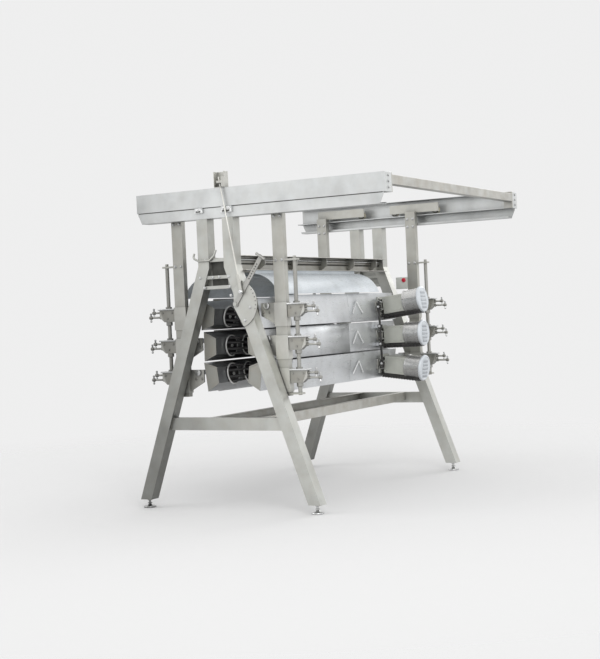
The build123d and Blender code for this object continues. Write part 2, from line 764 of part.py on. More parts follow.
def finger_disc(side, number, place):
    """One spinning disc: plate, shaft into the bank and two rings of tapered rubber fingers."""
    middle = level_heights[number] + pivot_rise - pivot_drop
    pieces = [
        bar((disc_front, place, middle), (disc_back, place, middle), disc_radius),
        bar((disc_back, place, middle), (lane_face + shaft_inside, place, middle), shaft_radius),
    ]
    root = Plane(origin=(disc_front, place, middle), x_dir=(0, 1, 0), z_dir=(-1, 0, 0))
    finger = extrude(Rectangle(finger_root, finger_root), finger_length, taper=finger_taper)
    for ring_radius, count in finger_rings:
        for turn in range(count):
            spot = root * Rot(0, 0, 360 * (turn + 0.5) / count) * Pos(ring_radius, 0, 0)
            pieces.append(spot * finger)
    return [on_side(tilted(piece, number), side) for piece in pieces]


# ---------------------------------------------------------------- lever and stop box
def adjusting_lever():
    """The drilled flat lever with its cross grip and the pin for the pull rod."""
    back = frame_front - quadrant_thickness - lever_gap
    front = back - lever_thickness
    half_width = lever_width / 2
    strip = block((-half_width, half_width), (front, back), (0, lever_length))
    eye = bar((0, front, 0), (0, back, 0), half_width + lever_eye_wall)
    lever = strip + eye
    grip_height = lever_length - grip_radius
    grip_depth = front - grip_radius + grip_seat
    grip_ends = [(reach, grip_depth, grip_height) for reach in (-grip_reach, grip_reach)]
    lever += bar(*grip_ends, grip_radius)
    for count in range(lever_holes):
        hole_height = lever_length - lever_hole_inset - count * lever_hole_pitch
        lever -= bar((0, front - 1, hole_height), (0, back + 1, hole_height), lever_hole_radius)
    lever -= bar((0, front - 1, 0), (0, back + 1, 0), pin_radius + pin_clearance)
    plane = rod_place()[0]
    pin_start = (0, plane - rod_radius - rod_pin_head, rod_joint_reach)
    lever += bar(pin_start, (0, front, rod_joint_reach), pin_radius)
    return Pos(lever_pivot[0], 0, lever_pivot[1]) * Rot(0, lever_lean, 0) * lever


def lever_rod():
    """The pull rod from the lever's pin up through the guide eye on the beam."""
    plane, joint, eye = rod_place()
    run = Vector(eye[0] - joint[0], 0, eye[1] - joint[1])
    unit = run.normalized()
    upper = run + unit * rod_tail
    start = unit * rod_strap
    rod = bar((start.X, plane, start.Z), (upper.X, plane, upper.Z), rod_radius)
    strap_side = (-rod_strap_half_width, rod_strap_half_width)
    strap = block(strap_side, (plane - rod_radius, plane + rod_radius), (0, rod_strap + rod_strap_overlap))
    strap += bar((0, plane - rod_radius, 0), (0, plane + rod_radius, 0), 2 * pin_radius)
    lean = math.degrees(math.atan2(run.X, run.Z))
    rod += Rot(0, lean, 0) * strap
    rod -= bar((0, plane - 3 * rod_radius, 0), (0, plane + 3 * rod_radius, 0), pin_radius + pin_clearance)
    return Pos(joint[0], 0, joint[1]) * rod


def stop_box():
    """The emergency stop's box on the far right hanging post, with the conduit up the post."""
    inner = post_inner - stop_box_size[0]
    back = -post_front
    front = back - stop_box_size[1]
    rise = (stop_box_height, stop_box_height + stop_box_size[2])
    box = block((inner, post_inner), (front, back), rise)
    button_height = rise[1] - stop_button_drop
    neck_start = (stop_button_place, front - 1, button_height)
    neck_end = (stop_button_place, front + stop_neck_length, button_height)
    neck_hole = bar(neck_start, neck_end, stop_neck_radius + sliding_gap)
    conduit_x = post_inner - conduit_radius
    conduit_y = back - 2 * conduit_radius
    conduit = bar((conduit_x, conduit_y, rise[1]), (conduit_x, conduit_y, post_top), conduit_radius)
    return on_side(box - neck_hole + conduit, "right")


def stop_button():
    """The mushroom button, drawn at rest; it is pushed towards +Y."""
    front = -post_front - stop_box_size[1]
    height = stop_box_height + stop_box_size[2] - stop_button_drop
    head_back = front - stop_button_travel - sliding_gap
    start = (stop_button_place, head_back, height)
    head = bar(start, (stop_button_place, head_back - stop_head_length, height), stop_button_radius)
    neck = bar(start, (stop_button_place, front + stop_neck_length / 2, height), stop_neck_radius)
    return on_side(head + neck, "right")


def brace_rod():
    """The dark rod with clamps beside the right covers, carried by the middle bank."""
    middle = level_heights[1] + pivot_rise - pivot_drop
    face = case_back + cover_thickness
    centre = face + brace_standoff
    low = (centre, brace_place, middle - brace_drop)
    high = (centre, brace_place, middle + brace_rise)
    rod = bar(low, high, brace_radius)
    half_lug = brace_lug_size / 2
    lug_run = (brace_place - half_lug, brace_place + half_lug)
    for offset in (-brace_clamp_spread, brace_clamp_spread):
        lug_rise = (middle + offset - half_lug, middle + offset + half_lug)
        rod += block((face, centre + 2 * brace_radius), lug_run, lug_rise)
    return on_side(tilted(rod, 1), "right")


# ---------------------------------------------------------------- all parts
parts = {
    "near_a_frame": near_a_frame(),
    "far_a_frame": far_a_frame(),
    "lower_rails": lower_rails(),
    "top_rails": top_rails(),
    "splash_hoods": splash_hoods(),
    "near_beam": [near_beam(), *beam_saddles()],
    "far_beam": mirror(near_beam(), about=Plane.XZ),
    "tie_tube": tie_tube(),
    "levelling_feet": levelling_feet(),
    "cable_bracket": rod_bracket(),
    "adjusting_lever": adjusting_lever(),
    "lever_rod": lever_rod(),
    "stop_box": stop_box(),
    "stop_button": stop_button(),
}
for side in ("left", "right"):
    parts[f"{side}_posts"] = carriage(side)
    parts[f"{side}_clamps"] = lift(side)
    for number, level in enumerate(levels):
        parts[f"{side}_{level}_housing"] = bank_housing(side, number)
        parts[f"{side}_{level}_motor"] = bank_motor(side, number)
        for count, place in enumerate(lane_discs):
            parts[f"{side}_{level}_disc_{count + 1}"] = finger_disc(side, number, place)
parts["right_middle_housing"].append(brace_rod())

solids = {}
for name, pieces in parts.items():
    pieces = pieces if isinstance(pieces, list) else [pieces]
    solids[name] = [solid for piece in pieces for solid in piece.solids()]
bounds = Compound([solid for group in solids.values() for solid in group]).bounding_box()
shift = Location((-(bounds.min.X + bounds.max.X) / 2, -(bounds.min.Y + bounds.max.Y) / 2, -bounds.min.Z))

os.makedirs("parts", exist_ok=True)
for name, group in solids.items():
    moved = [solid.moved(shift) for solid in group]
    export_step(moved[0] if len(moved) == 1 else Compound(moved), f"parts/{name}.step")
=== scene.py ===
"""Dresses the poultry plucking machine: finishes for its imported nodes, and detailed pieces on them."""

import json
import logging
import math
from collections.abc import Callable, Iterable, Iterator, Sequence
from dataclasses import dataclass, field
from enum import Enum

import bmesh
import bpy
from mathutils import Matrix, Vector

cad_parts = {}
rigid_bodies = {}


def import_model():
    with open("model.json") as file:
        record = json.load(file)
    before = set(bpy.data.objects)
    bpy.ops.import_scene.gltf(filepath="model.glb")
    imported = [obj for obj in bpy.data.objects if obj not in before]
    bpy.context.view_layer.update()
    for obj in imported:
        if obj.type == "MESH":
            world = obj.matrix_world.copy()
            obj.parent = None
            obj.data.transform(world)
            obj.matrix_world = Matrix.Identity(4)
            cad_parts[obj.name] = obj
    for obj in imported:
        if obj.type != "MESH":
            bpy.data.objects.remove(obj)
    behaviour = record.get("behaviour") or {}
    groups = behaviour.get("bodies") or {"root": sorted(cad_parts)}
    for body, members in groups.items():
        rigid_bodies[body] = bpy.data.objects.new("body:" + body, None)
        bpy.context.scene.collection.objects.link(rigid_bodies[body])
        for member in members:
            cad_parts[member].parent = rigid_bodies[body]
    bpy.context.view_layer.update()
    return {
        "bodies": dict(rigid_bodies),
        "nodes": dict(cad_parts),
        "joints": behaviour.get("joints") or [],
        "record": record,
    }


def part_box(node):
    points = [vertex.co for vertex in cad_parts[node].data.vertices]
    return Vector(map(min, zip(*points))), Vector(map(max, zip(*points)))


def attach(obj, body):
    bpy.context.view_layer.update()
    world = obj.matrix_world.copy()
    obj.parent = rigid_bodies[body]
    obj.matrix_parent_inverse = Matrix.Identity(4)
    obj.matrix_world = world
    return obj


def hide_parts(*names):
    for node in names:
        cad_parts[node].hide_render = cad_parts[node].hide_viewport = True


LOG = logging.getLogger("plucker")
Rgb = tuple[float, float, float]
Point = tuple[float, float, float]
Pair = tuple[float, float]
Profile = Sequence[Pair]               # heights and radii of a turned piece
Piece = bpy.types.Object
Socket = bpy.types.NodeSocket

ACROSS = (1.0, 0.0, 0.0)
ALONG = (0.0, 1.0, 0.0)
FRONT = (0.0, -1.0, 0.0)
UP = (0.0, 0.0, 1.0)
DOWN = (0.0, 0.0, -1.0)
MIDDLE = (0.0, 0.0, 0.0)
WAYS = (-1.0, 1.0)

LANE_PLANE = -0.302                    # X of the lane's middle plane
LANE_REACH = (0.185, 0.262)            # distances from it over which the painted shade along the lane fades out
LIT_SIDE_WAY = (1.0, 0.0, 0.25)            # direction from the side with painted shade to the lit side
LIT_SIDE_REACH = (-1.15, 0.45)             # where along it the change starts and ends
SHADED_SIDE_SHARE = 0.40                      # brightness that is left on the side with painted shade
CREVICE = 0.05                         # reach of the painted shade in corners and narrow gaps
UNDERSIDE = -0.75                      # upward part of the direction of the faces with the deepest painted shade
NOISE_SPAN = (0.3, 0.7)                # the part of a noise that is used
ROUGHNESS_SPREAD = (-0.08, 0.10)
EDGE_ANGLE = 35.0                      # edges sharper than this are rounded
SMOOTH_ANGLE = 40.0                    # faces that meet under this angle shade as one
FLAT_ANGLE = 20.0                      # the same for hexagons, whose flats show


# ---------------------------------------------------------------- finishes
class Grain(Enum):
    """The axis that brushing lines run along, as the stretch of the noise on X, Y and Z."""

    ALONG_X = (0.03, 1.0, 1.0)
    ALONG_Y = (1.0, 0.03, 1.0)
    ALONG_Z = (1.0, 1.0, 0.03)


class NodeBench:
    """Lays out the nodes of one material and joins them."""

    def __init__(self, name: str) -> None:
        """Starts a material with its shader and the object's own coordinates."""
        self.material = bpy.data.materials.new(name)
        self.material.use_nodes = True
        self.tree = self.material.node_tree
        self.shader = self.tree.nodes["Principled BSDF"]
        self.coordinates = self.add("ShaderNodeTexCoord").outputs["Object"]

    def add(self, kind: str, **settings: object) -> bpy.types.Node:
        """Adds a node and sets its plain settings."""
        node = self.tree.nodes.new(kind)
        for name, value in settings.items():
            setattr(node, name, value)
        return node

    def join(self, source: Socket, target: Socket) -> None:
        """Links an output to an input."""
        self.tree.links.new(source, target)

    def noise(self, scale: float, detail: float = 4.0, stretch: Point = (1.0, 1.0, 1.0)) -> Socket:
        """Noise on the object's coordinates.

        Args:
            scale: how many patches there are to a metre.
            detail: how many finer layers are added.
            stretch: factors on X, Y and Z; a small one draws the noise out along that axis.

        Returns:
            The noise's factor socket.
        """
        mapping = self.add("ShaderNodeMapping")
        mapping.inputs["Scale"].default_value = stretch
        self.join(self.coordinates, mapping.inputs["Vector"])
        noise = self.add("ShaderNodeTexNoise")
        noise.inputs["Scale"].default_value = scale
        noise.inputs["Detail"].default_value = detail
        self.join(mapping.outputs["Vector"], noise.inputs["Vector"])
        return noise.outputs["Fac"]

    def ramp(self, factor: Socket, stops: Sequence[tuple[float, Rgb]]) -> Socket:
        """Turns a factor into colours.

        Args:
            factor: the socket that picks the colour.
            stops: places from 0 to 1, each with its colour.

        Returns:
            The colour socket.
        """
        ramp = self.add("ShaderNodeValToRGB")
        elements = ramp.color_ramp.elements
        while len(elements) < len(stops):
            elements.new(0.5)
        for element, (place, colour) in zip(elements, stops):
            element.position = place
            element.color = (*colour, 1.0)
        self.join(factor, ramp.inputs["Fac"])
        return ramp.outputs["Color"]

    def blend(self, factor: Socket, first: Socket | Rgb, second: Rgb) -> Socket:
        """Mixes two colours by a factor.

        Args:
            factor: 0 gives the first colour, 1 the second.
            first: a colour socket or a colour.
            second: a colour.

        Returns:
            The mixed colour's socket.
        """
        mix = self.add("ShaderNodeMix", data_type="RGBA")
        self.join(factor, mix.inputs[0])
        if isinstance(first, Socket):
            self.join(first, mix.inputs[6])
        else:
            mix.inputs[6].default_value = (*first, 1.0)
        mix.inputs[7].default_value = (*second, 1.0)
        return mix.outputs[2]

    def ranged(self, value: Socket, span: Pair, limits: Pair = (0.0, 1.0), kind: str = "LINEAR") -> Socket:
        """Maps a value from one span to another and holds it at the ends.

        Args:
            value: the socket to map.
            span: the values that give the limits.
            limits: what they give.
            kind: how the change runs between them.

        Returns:
            The mapped socket.
        """
        reach = self.add("ShaderNodeMapRange", interpolation_type=kind)
        for name, number in zip(("From Min", "From Max", "To Min", "To Max"), (*span, *limits)):
            reach.inputs[name].default_value = number
        self.join(value, reach.inputs["Value"])
        return reach.outputs["Result"]

    def axis(self, vector: Socket, name: str) -> Socket:
        """One axis of a vector socket."""
        split = self.add("ShaderNodeSeparateXYZ")
        self.join(vector, split.inputs[0])
        return split.outputs[name]

    def shaded(self, colour: Socket, light: Socket, low: float) -> Socket:
        """Darkens a colour where a factor is low.

        Args:
            colour: the colour's socket.
            light: 1 keeps the colour, 0 darkens it most.
            low: the share of the colour that is left at 0.

        Returns:
            The darkened colour's socket.
        """
        grey = self.ramp(light, [(0.0, (low, low, low)), (1.0, (1.0, 1.0, 1.0))])
        mix = self.add("ShaderNodeMix", data_type="RGBA", blend_type="MULTIPLY")
        mix.inputs[0].default_value = 1.0
        self.join(colour, mix.inputs[6])
        self.join(grey, mix.inputs[7])
        return mix.outputs[2]

    def bright_side(self) -> Socket:
        """A factor that grows from the machine's side with painted shade to its lit side."""
        dot = self.add("ShaderNodeVectorMath", operation="DOT_PRODUCT")
        dot.inputs[1].default_value = LIT_SIDE_WAY
        self.join(self.coordinates, dot.inputs[0])
        return self.ranged(dot.outputs["Value"], LIT_SIDE_REACH, kind="SMOOTHSTEP")

    def off_lane(self) -> Socket:
        """A factor that is 0 near the lane's middle plane and 1 away from it, for the painted shade along the
        lane.
        """
        gap = self.add("ShaderNodeMath", operation="SUBTRACT")
        gap.inputs[1].default_value = LANE_PLANE
        self.join(self.axis(self.coordinates, "X"), gap.inputs[0])
        size = self.add("ShaderNodeMath", operation="ABSOLUTE")
        self.join(gap.outputs[0], size.inputs[0])
        return self.ranged(size.outputs[0], LANE_REACH)

    def undersides(self, clean: float) -> Socket:
        """A factor that falls on faces that look down, for painted shade under things.

        Args:
            clean: the upward part of a face's direction from which it has no painted shade.

        Returns:
            The factor's socket.
        """
        normal = self.add("ShaderNodeNewGeometry").outputs["Normal"]
        return self.ranged(self.axis(normal, "Z"), (UNDERSIDE, clean))

    def crevices(self) -> Socket:
        """A factor that falls in corners and narrow gaps, for painted shade there."""
        near = self.add("ShaderNodeAmbientOcclusion", samples=6)
        near.inputs["Distance"].default_value = CREVICE
        return near.outputs["AO"]

    def grained(self, grain: Socket, roughness: float, strength: float, depth: float) -> None:
        """Lets a grain vary the roughness and raise the surface.

        Args:
            grain: the grain's socket.
            roughness: the middle of the roughness.
            strength: strength of the bumps, from 0 to 1.
            depth: the height that a full step stands for, in metres.
        """
        limits = (roughness + ROUGHNESS_SPREAD[0], roughness + ROUGHNESS_SPREAD[1])
        self.join(self.ranged(grain, NOISE_SPAN, limits), self.shader.inputs["Roughness"])
        bump = self.add("ShaderNodeBump")
        bump.inputs["Strength"].default_value = strength
        bump.inputs["Distance"].default_value = depth
        self.join(grain, bump.inputs["Height"])
        self.join(bump.outputs["Normal"], self.shader.inputs["Normal"])


@dataclass(frozen=True)
class SteelFinish:
    """Satin stainless steel with brushing lines, cloudy wear and faint stains, and painted shade towards one
    side of the machine, along the lane, in crevices and on faces that look down.
    """

    name: str
    colour: Rgb
    roughness: float
    grain: Grain = Grain.ALONG_Z
    metallic: float = 0.8
    staining: float = 0.25
    # The next three set the painted shade: its depth in crevices and on faces that look down, its depth along
    # the lane, and the upward part of a face's direction from which it has none.
    grime: float = 0.45
    lane_dark: float = 0.0
    clean: float = 0.15
    stain: Rgb = (0.42, 0.38, 0.31)
    cloud_scale: float = 5.0
    clouds: Sequence[Pair] = ((0.3, 0.86), (0.5, 1.0), (0.72, 1.08))   # places and brightness
    patch_scale: float = 11.0
    line_scale: float = 420.0
    bump: Pair = (0.12, 0.0004)                                        # strength and depth

    def material(self) -> bpy.types.Material:
        """The finish as a material."""
        bench = NodeBench(self.name)
        stops = [(place, tuple(part * share for part in self.colour)) for place, share in self.clouds]
        clouds = bench.ramp(bench.noise(self.cloud_scale), stops)
        patches = bench.ranged(bench.noise(self.patch_scale, detail=8.0), NOISE_SPAN, (0.0, self.staining))
        # Painted shade: darker towards one side of the machine, where less light falls.
        colour = bench.shaded(bench.blend(patches, clouds, self.stain), bench.bright_side(), SHADED_SIDE_SHARE)
        # Painted shade along the lane's faces.
        if self.lane_dark:
            colour = bench.shaded(colour, bench.off_lane(), 1.0 - self.lane_dark)
        # Painted shade in crevices and on faces that look down.
        if self.grime:
            colour = bench.shaded(colour, bench.crevices(), 1.0 - self.grime)
            colour = bench.shaded(colour, bench.undersides(self.clean), 1.0 - self.grime)
        bench.join(colour, bench.shader.inputs["Base Color"])
        lines = bench.noise(self.line_scale, detail=2.0, stretch=self.grain.value)
        bench.grained(lines, self.roughness, *self.bump)
        bench.shader.inputs["Metallic"].default_value = self.metallic
        return bench.material


@dataclass(frozen=True)
class MouldedFinish:
    """Rubber, plastic or a cast shell: one colour with fine grain and worn patches."""

    name: str
    colour: Rgb
    worn: Rgb
    roughness: float
    metallic: float = 0.0
    coat: float = 0.0
    wear: Pair = (0.0, 0.6)
    wear_scale: float = 16.0
    grain_scale: float = 240.0
    bump: Pair = (0.2, 0.0005)

    def material(self) -> bpy.types.Material:
        """The finish as a material."""
        bench = NodeBench(self.name)
        wear = bench.ranged(bench.noise(self.wear_scale, detail=6.0), NOISE_SPAN, self.wear)
        bench.join(bench.blend(wear, self.colour, self.worn), bench.shader.inputs["Base Color"])
        bench.grained(bench.noise(self.grain_scale, detail=3.0), self.roughness, *self.bump)
        bench.shader.inputs["Metallic"].default_value = self.metallic
        bench.shader.inputs["Coat Weight"].default_value = self.coat
        return bench.material


Finish = SteelFinish | MouldedFinish
FRAME_STEEL = SteelFinish("frame_steel", (0.61, 0.62, 0.59), 0.42)
BEAM_STEEL = SteelFinish("beam_steel", (0.77, 0.79, 0.79), 0.36, Grain.ALONG_X, staining=0.15)
RAIL_STEEL = SteelFinish("rail_steel", (0.64, 0.64, 0.61), 0.42, Grain.ALONG_Y, staining=0.5)
SHEET_STEEL = SteelFinish(
    "sheet_steel", (0.63, 0.68, 0.72), 0.32, Grain.ALONG_Y, metallic=0.1, staining=0.1, grime=0.0)
# Painted shade darkens it near the lane.
COVER_STEEL = SteelFinish("cover_steel", (0.76, 0.78, 0.80), 0.34, Grain.ALONG_Y, staining=0.1, lane_dark=0.4)
# A lighter copy of the cover steel with no painted shade: a painted highlight on the hems and the wire
# handles; the saddle plates use it too.
HEM_STEEL = SteelFinish("hem_steel", (0.90, 0.91, 0.91), 0.28, Grain.ALONG_Y, staining=0.05, grime=0.0)
# A darker copy of the casing steel, with stains: painted shade on the bank end plates.
END_SHADE_STEEL = SteelFinish("end_steel", (0.42, 0.42, 0.39), 0.45, staining=0.4)
POST_STEEL = SteelFinish("post_steel", (0.60, 0.60, 0.56), 0.42, grime=0.6)
CLAMP_STEEL = SteelFinish("clamp_steel", (0.70, 0.70, 0.66), 0.40, staining=0.2, grime=0.7)
# A darker copy of the clamp steel: painted shade on the sides of the screw boxes.
BOX_SIDE_SHADE_STEEL = SteelFinish("box_steel", (0.46, 0.46, 0.43), 0.42, staining=0.4, grime=0.7)
LEVER_STEEL = SteelFinish("lever_steel", (0.50, 0.50, 0.48), 0.42, staining=0.2)
SCREW_STEEL = SteelFinish("screw_steel", (0.42, 0.42, 0.40), 0.35, metallic=0.9)
WELD_STEEL = SteelFinish("weld_steel", (0.50, 0.48, 0.43), 0.36, staining=0.6)
BRIGHT_STEEL = SteelFinish("bright_steel", (0.80, 0.81, 0.81), 0.26, metallic=0.9, staining=0.1, grime=0.6)
DISC_STEEL = SteelFinish("disc_steel", (0.92, 0.92, 0.90), 0.34, metallic=0.3, staining=0.1, grime=0.0)
# Only faces that look nearly straight up escape its painted shade, so the barrel is painted darker towards
# its bottom.
BARREL_STEEL = SteelFinish(
    "barrel_steel", (0.86, 0.86, 0.85), 0.28, Grain.ALONG_X, staining=0.1, grime=0.70, clean=0.85)
CAP_ALUMINIUM = SteelFinish(
    "cap_aluminium", (0.76, 0.80, 0.84), 0.34, Grain.ALONG_Y, metallic=0.4, staining=0.05, grime=0.35)
# A darker copy of the cap aluminium: painted shadow under each louvre.
LOUVRE_SHADOW_ALUMINIUM = SteelFinish(
    "vent_aluminium", (0.44, 0.47, 0.51), 0.40, Grain.ALONG_Y, metallic=0.4, staining=0.1)
MOTOR_SHELL = MouldedFinish("motor_shell", (0.57, 0.58, 0.53), (0.49, 0.50, 0.45), 0.5, metallic=0.5)
DARK_IRON = MouldedFinish("dark_iron", (0.03, 0.03, 0.03), (0.09, 0.085, 0.08), 0.5, metallic=0.4)
# Near-black: painted shade in the gaps between the uprights, under the beam's proud lip, at the saddles' feet
# and in the lever's holes; also one thin dark pipe in each high rail.
SHADE_BLACK = MouldedFinish("dark_gap", (0.05, 0.05, 0.045), (0.10, 0.10, 0.09), 0.7)
FINGER_RUBBER = MouldedFinish("finger_rubber", (0.010, 0.010, 0.011), (0.035, 0.034, 0.032), 0.5)
ROLLER_NYLON = MouldedFinish("roller_nylon", (0.62, 0.56, 0.38), (0.50, 0.45, 0.30), 0.45)
BOX_PLASTIC = MouldedFinish("box_plastic", (0.66, 0.68, 0.64), (0.58, 0.60, 0.56), 0.5)
BUTTON_RED = MouldedFinish("button_red", (0.62, 0.02, 0.05), (0.5, 0.03, 0.05), 0.3, coat=0.4)


# ---------------------------------------------------------------- stage
@dataclass
class Stage:
    """The pale floor, the soft lamps and the camera."""

    foot_centre: Vector
    floor_radius: float = 30.0
    floor_sides: int = 96
    floor_grey: float = 0.84
    floor_roughness: float = 0.9
    floor_fade: Pair = (2.2, 7.0)
    backdrop: float = 0.86
    surround: float = 0.80
    camera_offset: Point = (5.654, -10.148, 1.550)
    looking: Point = (-0.4899, 0.8717, -0.01356)
    roll_degrees: float = -2.593
    focal_pixels: float = 1321.0
    picture_height: float = 659.0
    sensor: float = 36.0
    clip_end: float = 200.0
    aim: Point = (0.0, 0.0, 1.3)
    lamps: Sequence[tuple[str, Point, float, float]] = (
        ("key", (7.0, -9.0, 8.0), 6.0, 400.0),
        ("fill", (-9.0, -6.0, 5.0), 7.0, 180.0),
        ("rear", (3.0, 11.0, 7.0), 6.0, 200.0),
    )

    def build(self) -> None:
        """Adds the world, the floor, the lamps and the camera."""
        self.add_world()
        self.add_floor()
        for name, place, size, power in self.lamps:
            self.add_lamp(name, Vector(place), size, power)
        self.add_camera()
        bpy.context.scene.view_settings.view_transform = "Standard"

    def add_world(self) -> None:
        """A white surround; the camera, gloss and glass see the backdrop's shade."""
        world = bpy.data.worlds.new("surround")
        bpy.context.scene.world = world
        world.use_nodes = True
        nodes = world.node_tree.nodes
        links = world.node_tree.links
        seen = nodes["Background"]
        seen.inputs["Color"].default_value = (self.backdrop, self.backdrop, self.backdrop, 1.0)
        light = nodes.new("ShaderNodeBackground")
        light.inputs["Color"].default_value = (1.0, 1.0, 1.0, 1.0)
        light.inputs["Strength"].default_value = self.surround
        mix = nodes.new("ShaderNodeMixShader")
        links.new(direct_view(world.node_tree), mix.inputs["Fac"])
        links.new(light.outputs["Background"], mix.inputs[1])
        links.new(seen.outputs["Background"], mix.inputs[2])
        links.new(mix.outputs["Shader"], nodes["World Output"].inputs["Surface"])

    def add_floor(self) -> None:
        """A pale disc that fades into the surround."""
        bpy.ops.object.select_all(action="DESELECT")
        bpy.ops.mesh.primitive_circle_add(
            vertices=self.floor_sides, radius=self.floor_radius, fill_type="NGON",
            location=(self.foot_centre.x, self.foot_centre.y, 0.0))
        floor = bpy.context.object
        floor.name = "floor"
        bench = NodeBench("floor_paper")
        grey = self.floor_grey
        bench.shader.inputs["Base Color"].default_value = (grey, grey, grey, 1.0)
        bench.shader.inputs["Roughness"].default_value = self.floor_roughness
        distance = bench.add("ShaderNodeVectorMath", operation="LENGTH")
        bench.join(bench.coordinates, distance.inputs[0])
        clear = bench.add("ShaderNodeBsdfTransparent")
        mix = bench.add("ShaderNodeMixShader")
        bench.join(bench.ranged(distance.outputs["Value"], self.floor_fade), mix.inputs["Fac"])
        bench.join(bench.shader.outputs["BSDF"], mix.inputs[1])
        bench.join(clear.outputs["BSDF"], mix.inputs[2])
        bench.join(mix.outputs["Shader"], bench.tree.nodes["Material Output"].inputs["Surface"])
        floor.data.materials.append(bench.material)

    def add_lamp(self, name: str, place: Vector, size: float, power: float) -> None:
        """A square soft lamp that faces the machine.

        Args:
            name: the lamp's name.
            place: where it stands, from the foot centre.
            size: its side in metres.
            power: its power in watts.
        """
        lamp = bpy.data.lights.new(name, "AREA")
        lamp.size = size
        lamp.energy = power
        holder = bpy.data.objects.new(name, lamp)
        bpy.context.collection.objects.link(holder)
        holder.location = self.foot_centre + place
        holder.rotation_euler = (Vector(self.aim) - place).to_track_quat("-Z", "Y").to_euler()

    def add_camera(self) -> None:
        """The camera, at standing height off the lever end's right corner."""
        forward = Vector(self.looking).normalized()
        level_right = forward.cross(Vector(UP)).normalized()
        level_up = level_right.cross(forward)
        roll = math.radians(self.roll_degrees)
        right = level_right * math.cos(roll) + level_up * math.sin(roll)
        up = level_up * math.cos(roll) - level_right * math.sin(roll)
        camera = bpy.data.cameras.new("camera")
        camera.sensor_width = self.sensor
        camera.lens = self.focal_pixels * self.sensor / self.picture_height
        camera.clip_end = self.clip_end
        holder = bpy.data.objects.new("camera", camera)
        bpy.context.collection.objects.link(holder)
        axes = Matrix((right, up, -forward)).transposed().to_4x4()
        holder.matrix_world = Matrix.Translation(self.foot_centre + Vector(self.camera_offset)) @ axes
        bpy.context.scene.camera = holder


def direct_view(tree: bpy.types.NodeTree) -> Socket:
    """A factor that is 1 for camera, glossy and transmission rays.

    Args:
        tree: the node tree to add the nodes to.

    Returns:
        The factor's socket.
    """
    path = tree.nodes.new("ShaderNodeLightPath")
    total = path.outputs["Is Camera Ray"]
    for name in ("Is Glossy Ray", "Is Transmission Ray"):
        largest = tree.nodes.new("ShaderNodeMath")
        largest.operation = "MAXIMUM"
        tree.links.new(total, largest.inputs[0])
        tree.links.new(path.outputs[name], largest.inputs[1])
        total = largest.outputs["Value"]
    return total


# ---------------------------------------------------------------- layout
class Side(Enum):
    """The two sides of the lane; the value mirrors what is drawn for the right side."""

    LEFT = -1
    RIGHT = 1

    @property
    def word(self) -> str:
        """The side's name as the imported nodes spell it."""
        return self.name.lower()


LEVELS = ("top", "middle", "bottom")


@dataclass(frozen=True)
class Layout:
    """Where the machine's main lines lie, in metres from the middle of its four feet."""

    origin: Vector
    lane_centre: float = 0.030
    level_heights: tuple[float, ...] = (1.536, 1.280, 1.024)
    level_tilts: tuple[float, ...] = (7.0, 1.0, -7.0)
    pivot_rise: float = 0.069
    pivot_drop: float = 0.045
    pivot_reach: float = 0.335
    post_line: float = 1.245

    def frame(self) -> Matrix:
        """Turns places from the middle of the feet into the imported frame."""
        return Matrix.Translation(self.origin)

    def lane_frame(self) -> Matrix:
        """The same from the lane's middle line."""
        return self.frame() @ Matrix.Translation((self.lane_centre, 0.0, 0.0))

    def side_frame(self, side: Side, end: int = -1) -> Matrix:
        """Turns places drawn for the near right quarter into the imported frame.

        Args:
            side: the side of the lane.
            end: -1 for the near end, 1 for the far end.

        Returns:
            The matrix; it mirrors the piece for the left side and for the far end.
        """
        return self.lane_frame() @ Matrix.Diagonal((float(side.value), float(-end), 1.0, 1.0))

    def bank_frame(self, side: Side, level: int) -> Matrix:
        """Turns places drawn level, about the middle of a right bank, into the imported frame.

        Args:
            side: the side of the lane.
            level: 0 for the top, 2 for the bottom.

        Returns:
            The matrix, with the bank's set angle in it.
        """
        height = self.level_heights[level] + self.pivot_rise
        axle = Matrix.Translation((self.pivot_reach, 0.0, height))
        turn = Matrix.Rotation(math.radians(-self.level_tilts[level]), 4, "Y")
        drop = Matrix.Translation((-self.pivot_reach, 0.0, -self.pivot_drop))
        return self.side_frame(side) @ axle @ turn @ drop

    def banks(self) -> Iterator[tuple[str, Matrix]]:
        """The name of each bank with its frame."""
        for side in Side:
            for level, word in enumerate(LEVELS):
                yield f"{side.word}_{word}", self.bank_frame(side, level)


def moved(piece: Piece, place: Matrix) -> Piece:
    """Moves a piece's mesh by a matrix and keeps its faces outward.

    Args:
        piece: the object, which stays at the origin.
        place: the move; it may mirror.

    Returns:
        The same object.
    """
    piece.data.transform(place)
    if place.determinant() < 0:
        piece.data.flip_normals()
    piece.data.update()
    return piece


def joined(pieces: Sequence[Piece]) -> Piece:
    """Joins several objects into the first one, keeping their materials."""
    bpy.ops.object.select_all(action="DESELECT")
    for piece in pieces:
        piece.select_set(True)
    bpy.context.view_layer.objects.active = pieces[0]
    if len(pieces) > 1:
        bpy.ops.object.join()
    return pieces[0]


def stood(place: Point, way: Point | None = None) -> Matrix:
    """A matrix for a piece that is drawn along Z.

    Args:
        place: where its origin goes.
        way: where its Z axis goes; without it the piece isn't turned.

    Returns:
        The matrix.
    """
    spot = Matrix.Translation(place)
    return spot @ Vector(way).to_track_quat("Z", "Y").to_matrix().to_4x4() if way else spot


